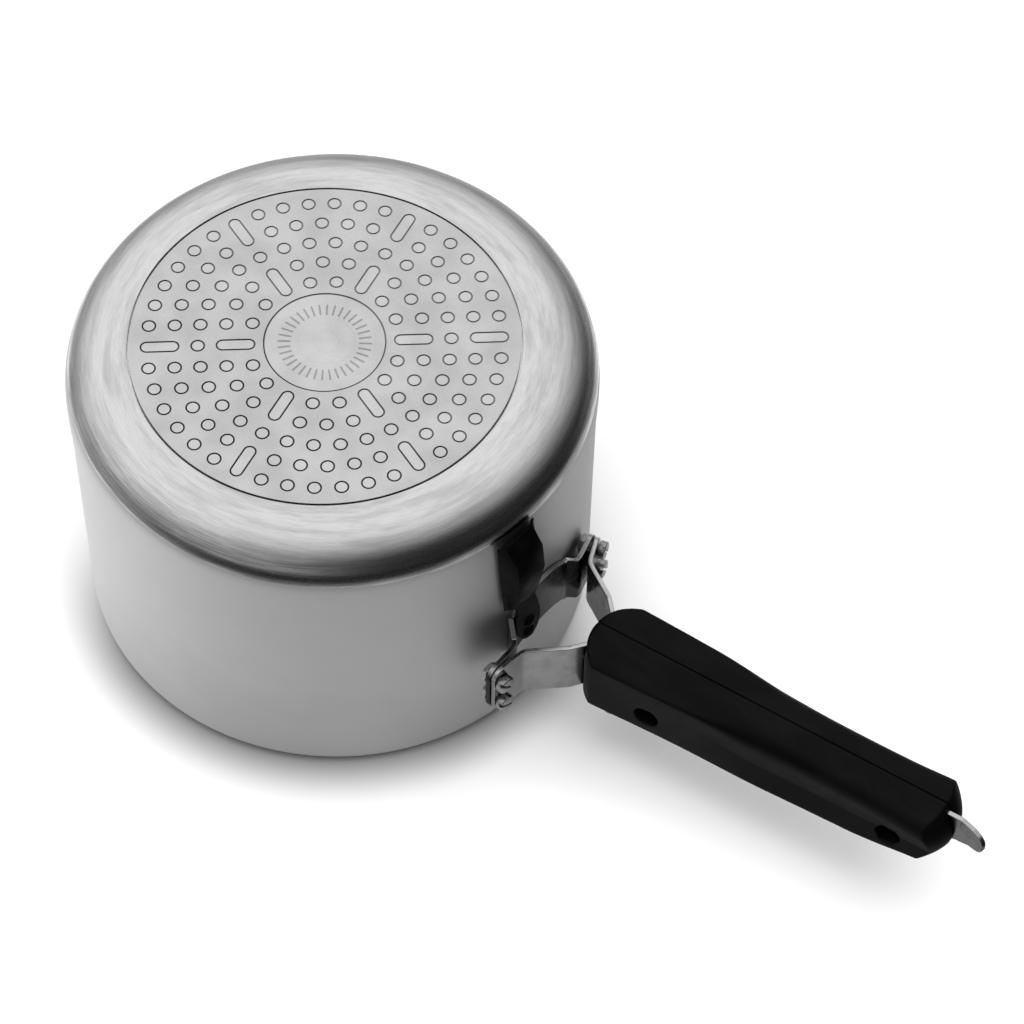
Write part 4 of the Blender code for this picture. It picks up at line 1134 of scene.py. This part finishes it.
def tab_pocket(side):
    """The slot in the seam where the strip comes out at the far end."""
    reach = CORE_Y + STRAP_THICKNESS / 2 + POCKET_PLAY
    start, end = CORE_END_X - 6 * MM, HANDLE_END_X + 8 * MM
    outline = [(start, -POCKET_OVERLAP), (start, reach), (end, reach + 0.9 * MM),
               (end, -POCKET_OVERLAP)]
    return pocket("tab_pocket", side, outline, *TAB_POCKET_HEIGHTS)


def bolt_pocket(x, z, side, round_pocket):
    """A side hole from a bolt's seat outwards: round for the head, hexagonal for the nut."""
    steps = 48 if round_pocket else 6
    radius = ROUND_POCKET_RADIUS if round_pocket else HEX_POCKET_RADIUS
    rings = [(0.0, BOLT_POCKET_DEPTH), (radius, BOLT_POCKET_DEPTH), (radius, 0.0), (0.0, 0.0)]
    place = placed((x, SEAM_Y + side * BOLT_SEAT_Y, z), Y_AXIS * side)
    return mesh_object(f"bolt_pocket_{side}", rings_mesh(rings, steps, place), None)


def make_handle_half(side, word, material):
    """One half shell: lofted, cut at both ends and for the bracket and bolts, then softened."""
    first, last = SHELL_SPAN
    count = round((last - first) / SHELL_STEP)
    bm = bmesh.new()
    rings = []
    for k in range(count + 1):
        x = first + (last - first) * k / count
        rings.append([bm.verts.new((x, SEAM_Y + side * y, z))
                      for y, z in handle_section(x)])
    bridge(bm, rings)
    bm.faces.new(rings[0])
    bm.faces.new(rings[-1])
    shell = mesh_object(f"handle_shell_{word}", bm, material)
    add_cut(shell, end_cutter("front_cut", front_surface, FRONT_CUT_X))
    add_cut(shell, end_cutter("end_cut", end_surface, END_CUT_X))
    add_cut(shell, yoke_pocket(side))
    if side < 0:
        add_cut(shell, tab_pocket(side))
    for word_at, round_side in (("front", -1), ("rear", 1)):
        spot = box_centre(f"handle_nut_{word_at}")
        add_cut(shell, bolt_pocket(spot.x, spot.z, side, side == round_side))
    apply_modifiers(shell)
    fine = shell.modifiers.new("skin", "REMESH")
    fine.mode = "VOXEL"
    fine.voxel_size = SKIN_VOXEL
    soft = shell.modifiers.new("soft_edges", "SMOOTH")
    soft.factor = 0.5
    soft.iterations = 4
    apply_modifiers(shell, 60.0)
    finish_piece(shell, f"handle_half_{word}")


# ---- floor, light and camera

def camera_frame():
    """The camera's right and away directions on the ground plan."""
    east, north = cos(LOOK_AZIMUTH), sin(LOOK_AZIMUTH)
    return Vector((east, north, 0)), Vector((-north, east, 0))


def make_camera():
    camera = add_object("camera", bpy.data.cameras.new("camera"))
    _, away = camera_frame()
    back = -away * cos(LOOK_ELEVATION) + Z_AXIS * sin(LOOK_ELEVATION)
    turn = (-back).to_track_quat("-Z", "Y").to_matrix().to_4x4()
    camera.matrix_world = (Matrix.Translation(LOOK_AT + back * LOOK_DISTANCE) @ turn
                           @ Matrix.Rotation(LOOK_ROLL, 4, "Z"))
    lens = camera.data
    lens.lens, lens.sensor_width, lens.shift_y = LENS_MM, SENSOR_MM, LENS_SHIFT_Y
    lens.clip_start, lens.clip_end = CLIP_RANGE
    bpy.context.scene.camera = camera


def light_direction(side, away, up):
    """A direction towards a light, from shares along the camera's right, away and up."""
    right, ahead = camera_frame()
    return (right * side + ahead * away + Z_AXIS * up).normalized()


def make_floor():
    """A white floor under the rim with a painted contact shadow; metals see it fall off to a dark
    surround of painted shade.
    """
    bm = bmesh.new()
    bmesh.ops.create_circle(bm, cap_ends=True, segments=96, radius=FLOOR_RADIUS)
    bmesh.ops.translate(bm, verts=bm.verts, vec=(0, 0, cad_box[0].z))
    s = Surface("floor_white", Roughness=0.9, Specular_IOR_Level=0.0)
    east, north, distance, _ = s.round_axis()
    # Painted shade for all but camera rays: the floor darkens away from the pot and towards one
    # side, so the metals reflect a dark surround
    facing = s.towards(east, north, light_direction(*FLOOR_DARK_TOWARDS))
    far = s.remap(facing, *FLOOR_FAR_TURN, *FLOOR_FAR)
    near = s.remap(distance, *FLOOR_FADE, 1.0, 0.0)
    painted_shade_seen_in_metal = s.times(s.remap(facing, *FLOOR_TURN, *FLOOR_SEEN), s.blend(near, far, 1.0))
    # Painted shadow: camera rays see the floor darkened in a ring round the rim, most on one side
    painted_shadow_side = s.towards(east, north, light_direction(*PAINTED_SHADOW_TOWARDS))
    painted_contact_shadow = s.blend(s.remap(painted_shadow_side, *PAINTED_SHADOW_TURN), FLOOR_WHITE, FLOOR_PAINTED_SHADOW)
    white = s.remap(distance, *PAINTED_SHADOW_FADE, painted_contact_shadow, FLOOR_WHITE)
    camera_ray = s.new("LightPath").outputs["Is Camera Ray"]
    s.set(Base_Color=s.grey(s.blend(camera_ray, painted_shade_seen_in_metal, white)))
    mesh_object("floor", bm, s.material)


def make_world():
    """A wide soft dome, bright up to the left, over a plain white backdrop."""
    world = bpy.data.worlds.new("studio")
    world.use_nodes = True
    bpy.context.scene.world = world
    n = Nodes(world.node_tree)
    n.tree.nodes.clear()
    sky = n.new("TexCoord").outputs["Generated"]

    def facing(towards):
        """How far a direction in the sky points towards a light."""
        return n.new("VectorMath", sky, light_direction(*towards),
                     operation="DOT_PRODUCT").outputs["Value"]

    rise = n.math("POWER", n.remap(facing(DOME_TOWARDS), *DOME_EDGE, curve="LINEAR"), DOME_POWER)
    level = n.remap(rise, 0.0, 1.0, *DOME_LEVELS, curve="LINEAR")
    side = n.remap(facing(SIDE_TOWARDS), *SIDE_EDGE, 0.0, SIDE_LEVEL)
    dome = n.new("Background", Strength=n.add(level, side)).outputs[0]
    backdrop = n.new("Background", Strength=BACKDROP_LEVEL).outputs[0]
    camera_ray = n.new("LightPath").outputs["Is Camera Ray"]
    n.new("OutputWorld", n.new("MixShader", camera_ray, dome, backdrop).outputs[0])


def make_key_light():
    """A wide soft sun from above, unseen in the metal."""
    light = bpy.data.lights.new("key", "SUN")
    light.energy = KEY_STRENGTH
    light.angle = KEY_SPREAD
    lamp = add_object("key", light)
    lamp.rotation_mode = "QUATERNION"
    lamp.rotation_quaternion = light_direction(*KEY_TOWARDS).to_track_quat("Z", "Y")
    lamp.visible_glossy = False


def build():
    bpy.context.scene.view_settings.view_transform = "Standard"
    make_camera()
    make_floor()
    make_world()
    make_key_light()
    steel = strap_material("plated_steel", *PLATED_STEEL)
    zinc = fastener_material("fastener_steel", ZINC_LEVEL)
    paint = paint_material()
    phenolic = phenolic_material()
    make_pot(pot_material())
    make_plate(plate_material("plate_sheet", *PLATE_SHEET),
               plate_material("plate_core", *PLATE_CORE),
               plate_material("plate_stamp", *PLATE_STAMP))
    # Painted shade: the saddle's steel is darkened to near black
    make_saddle(strap_material("strap_steel_painted_shade", *SHADED_STRAP_STEEL))
    for side, word in ((-1, "left"), (1, "right")):
        make_yoke(side, word, steel)
        make_ear_fasteners(side, word, zinc)
        make_handle_half(side, word, phenolic)
    make_guard(paint)
    make_rivets(paint)
    # Painted shade: the bolts and nuts deep in the handle's pockets are darkened to near black
    make_handle_fasteners(fastener_material("blackened_steel", BOLT_SHADE_LEVEL))
    make_studs(zinc)


build()
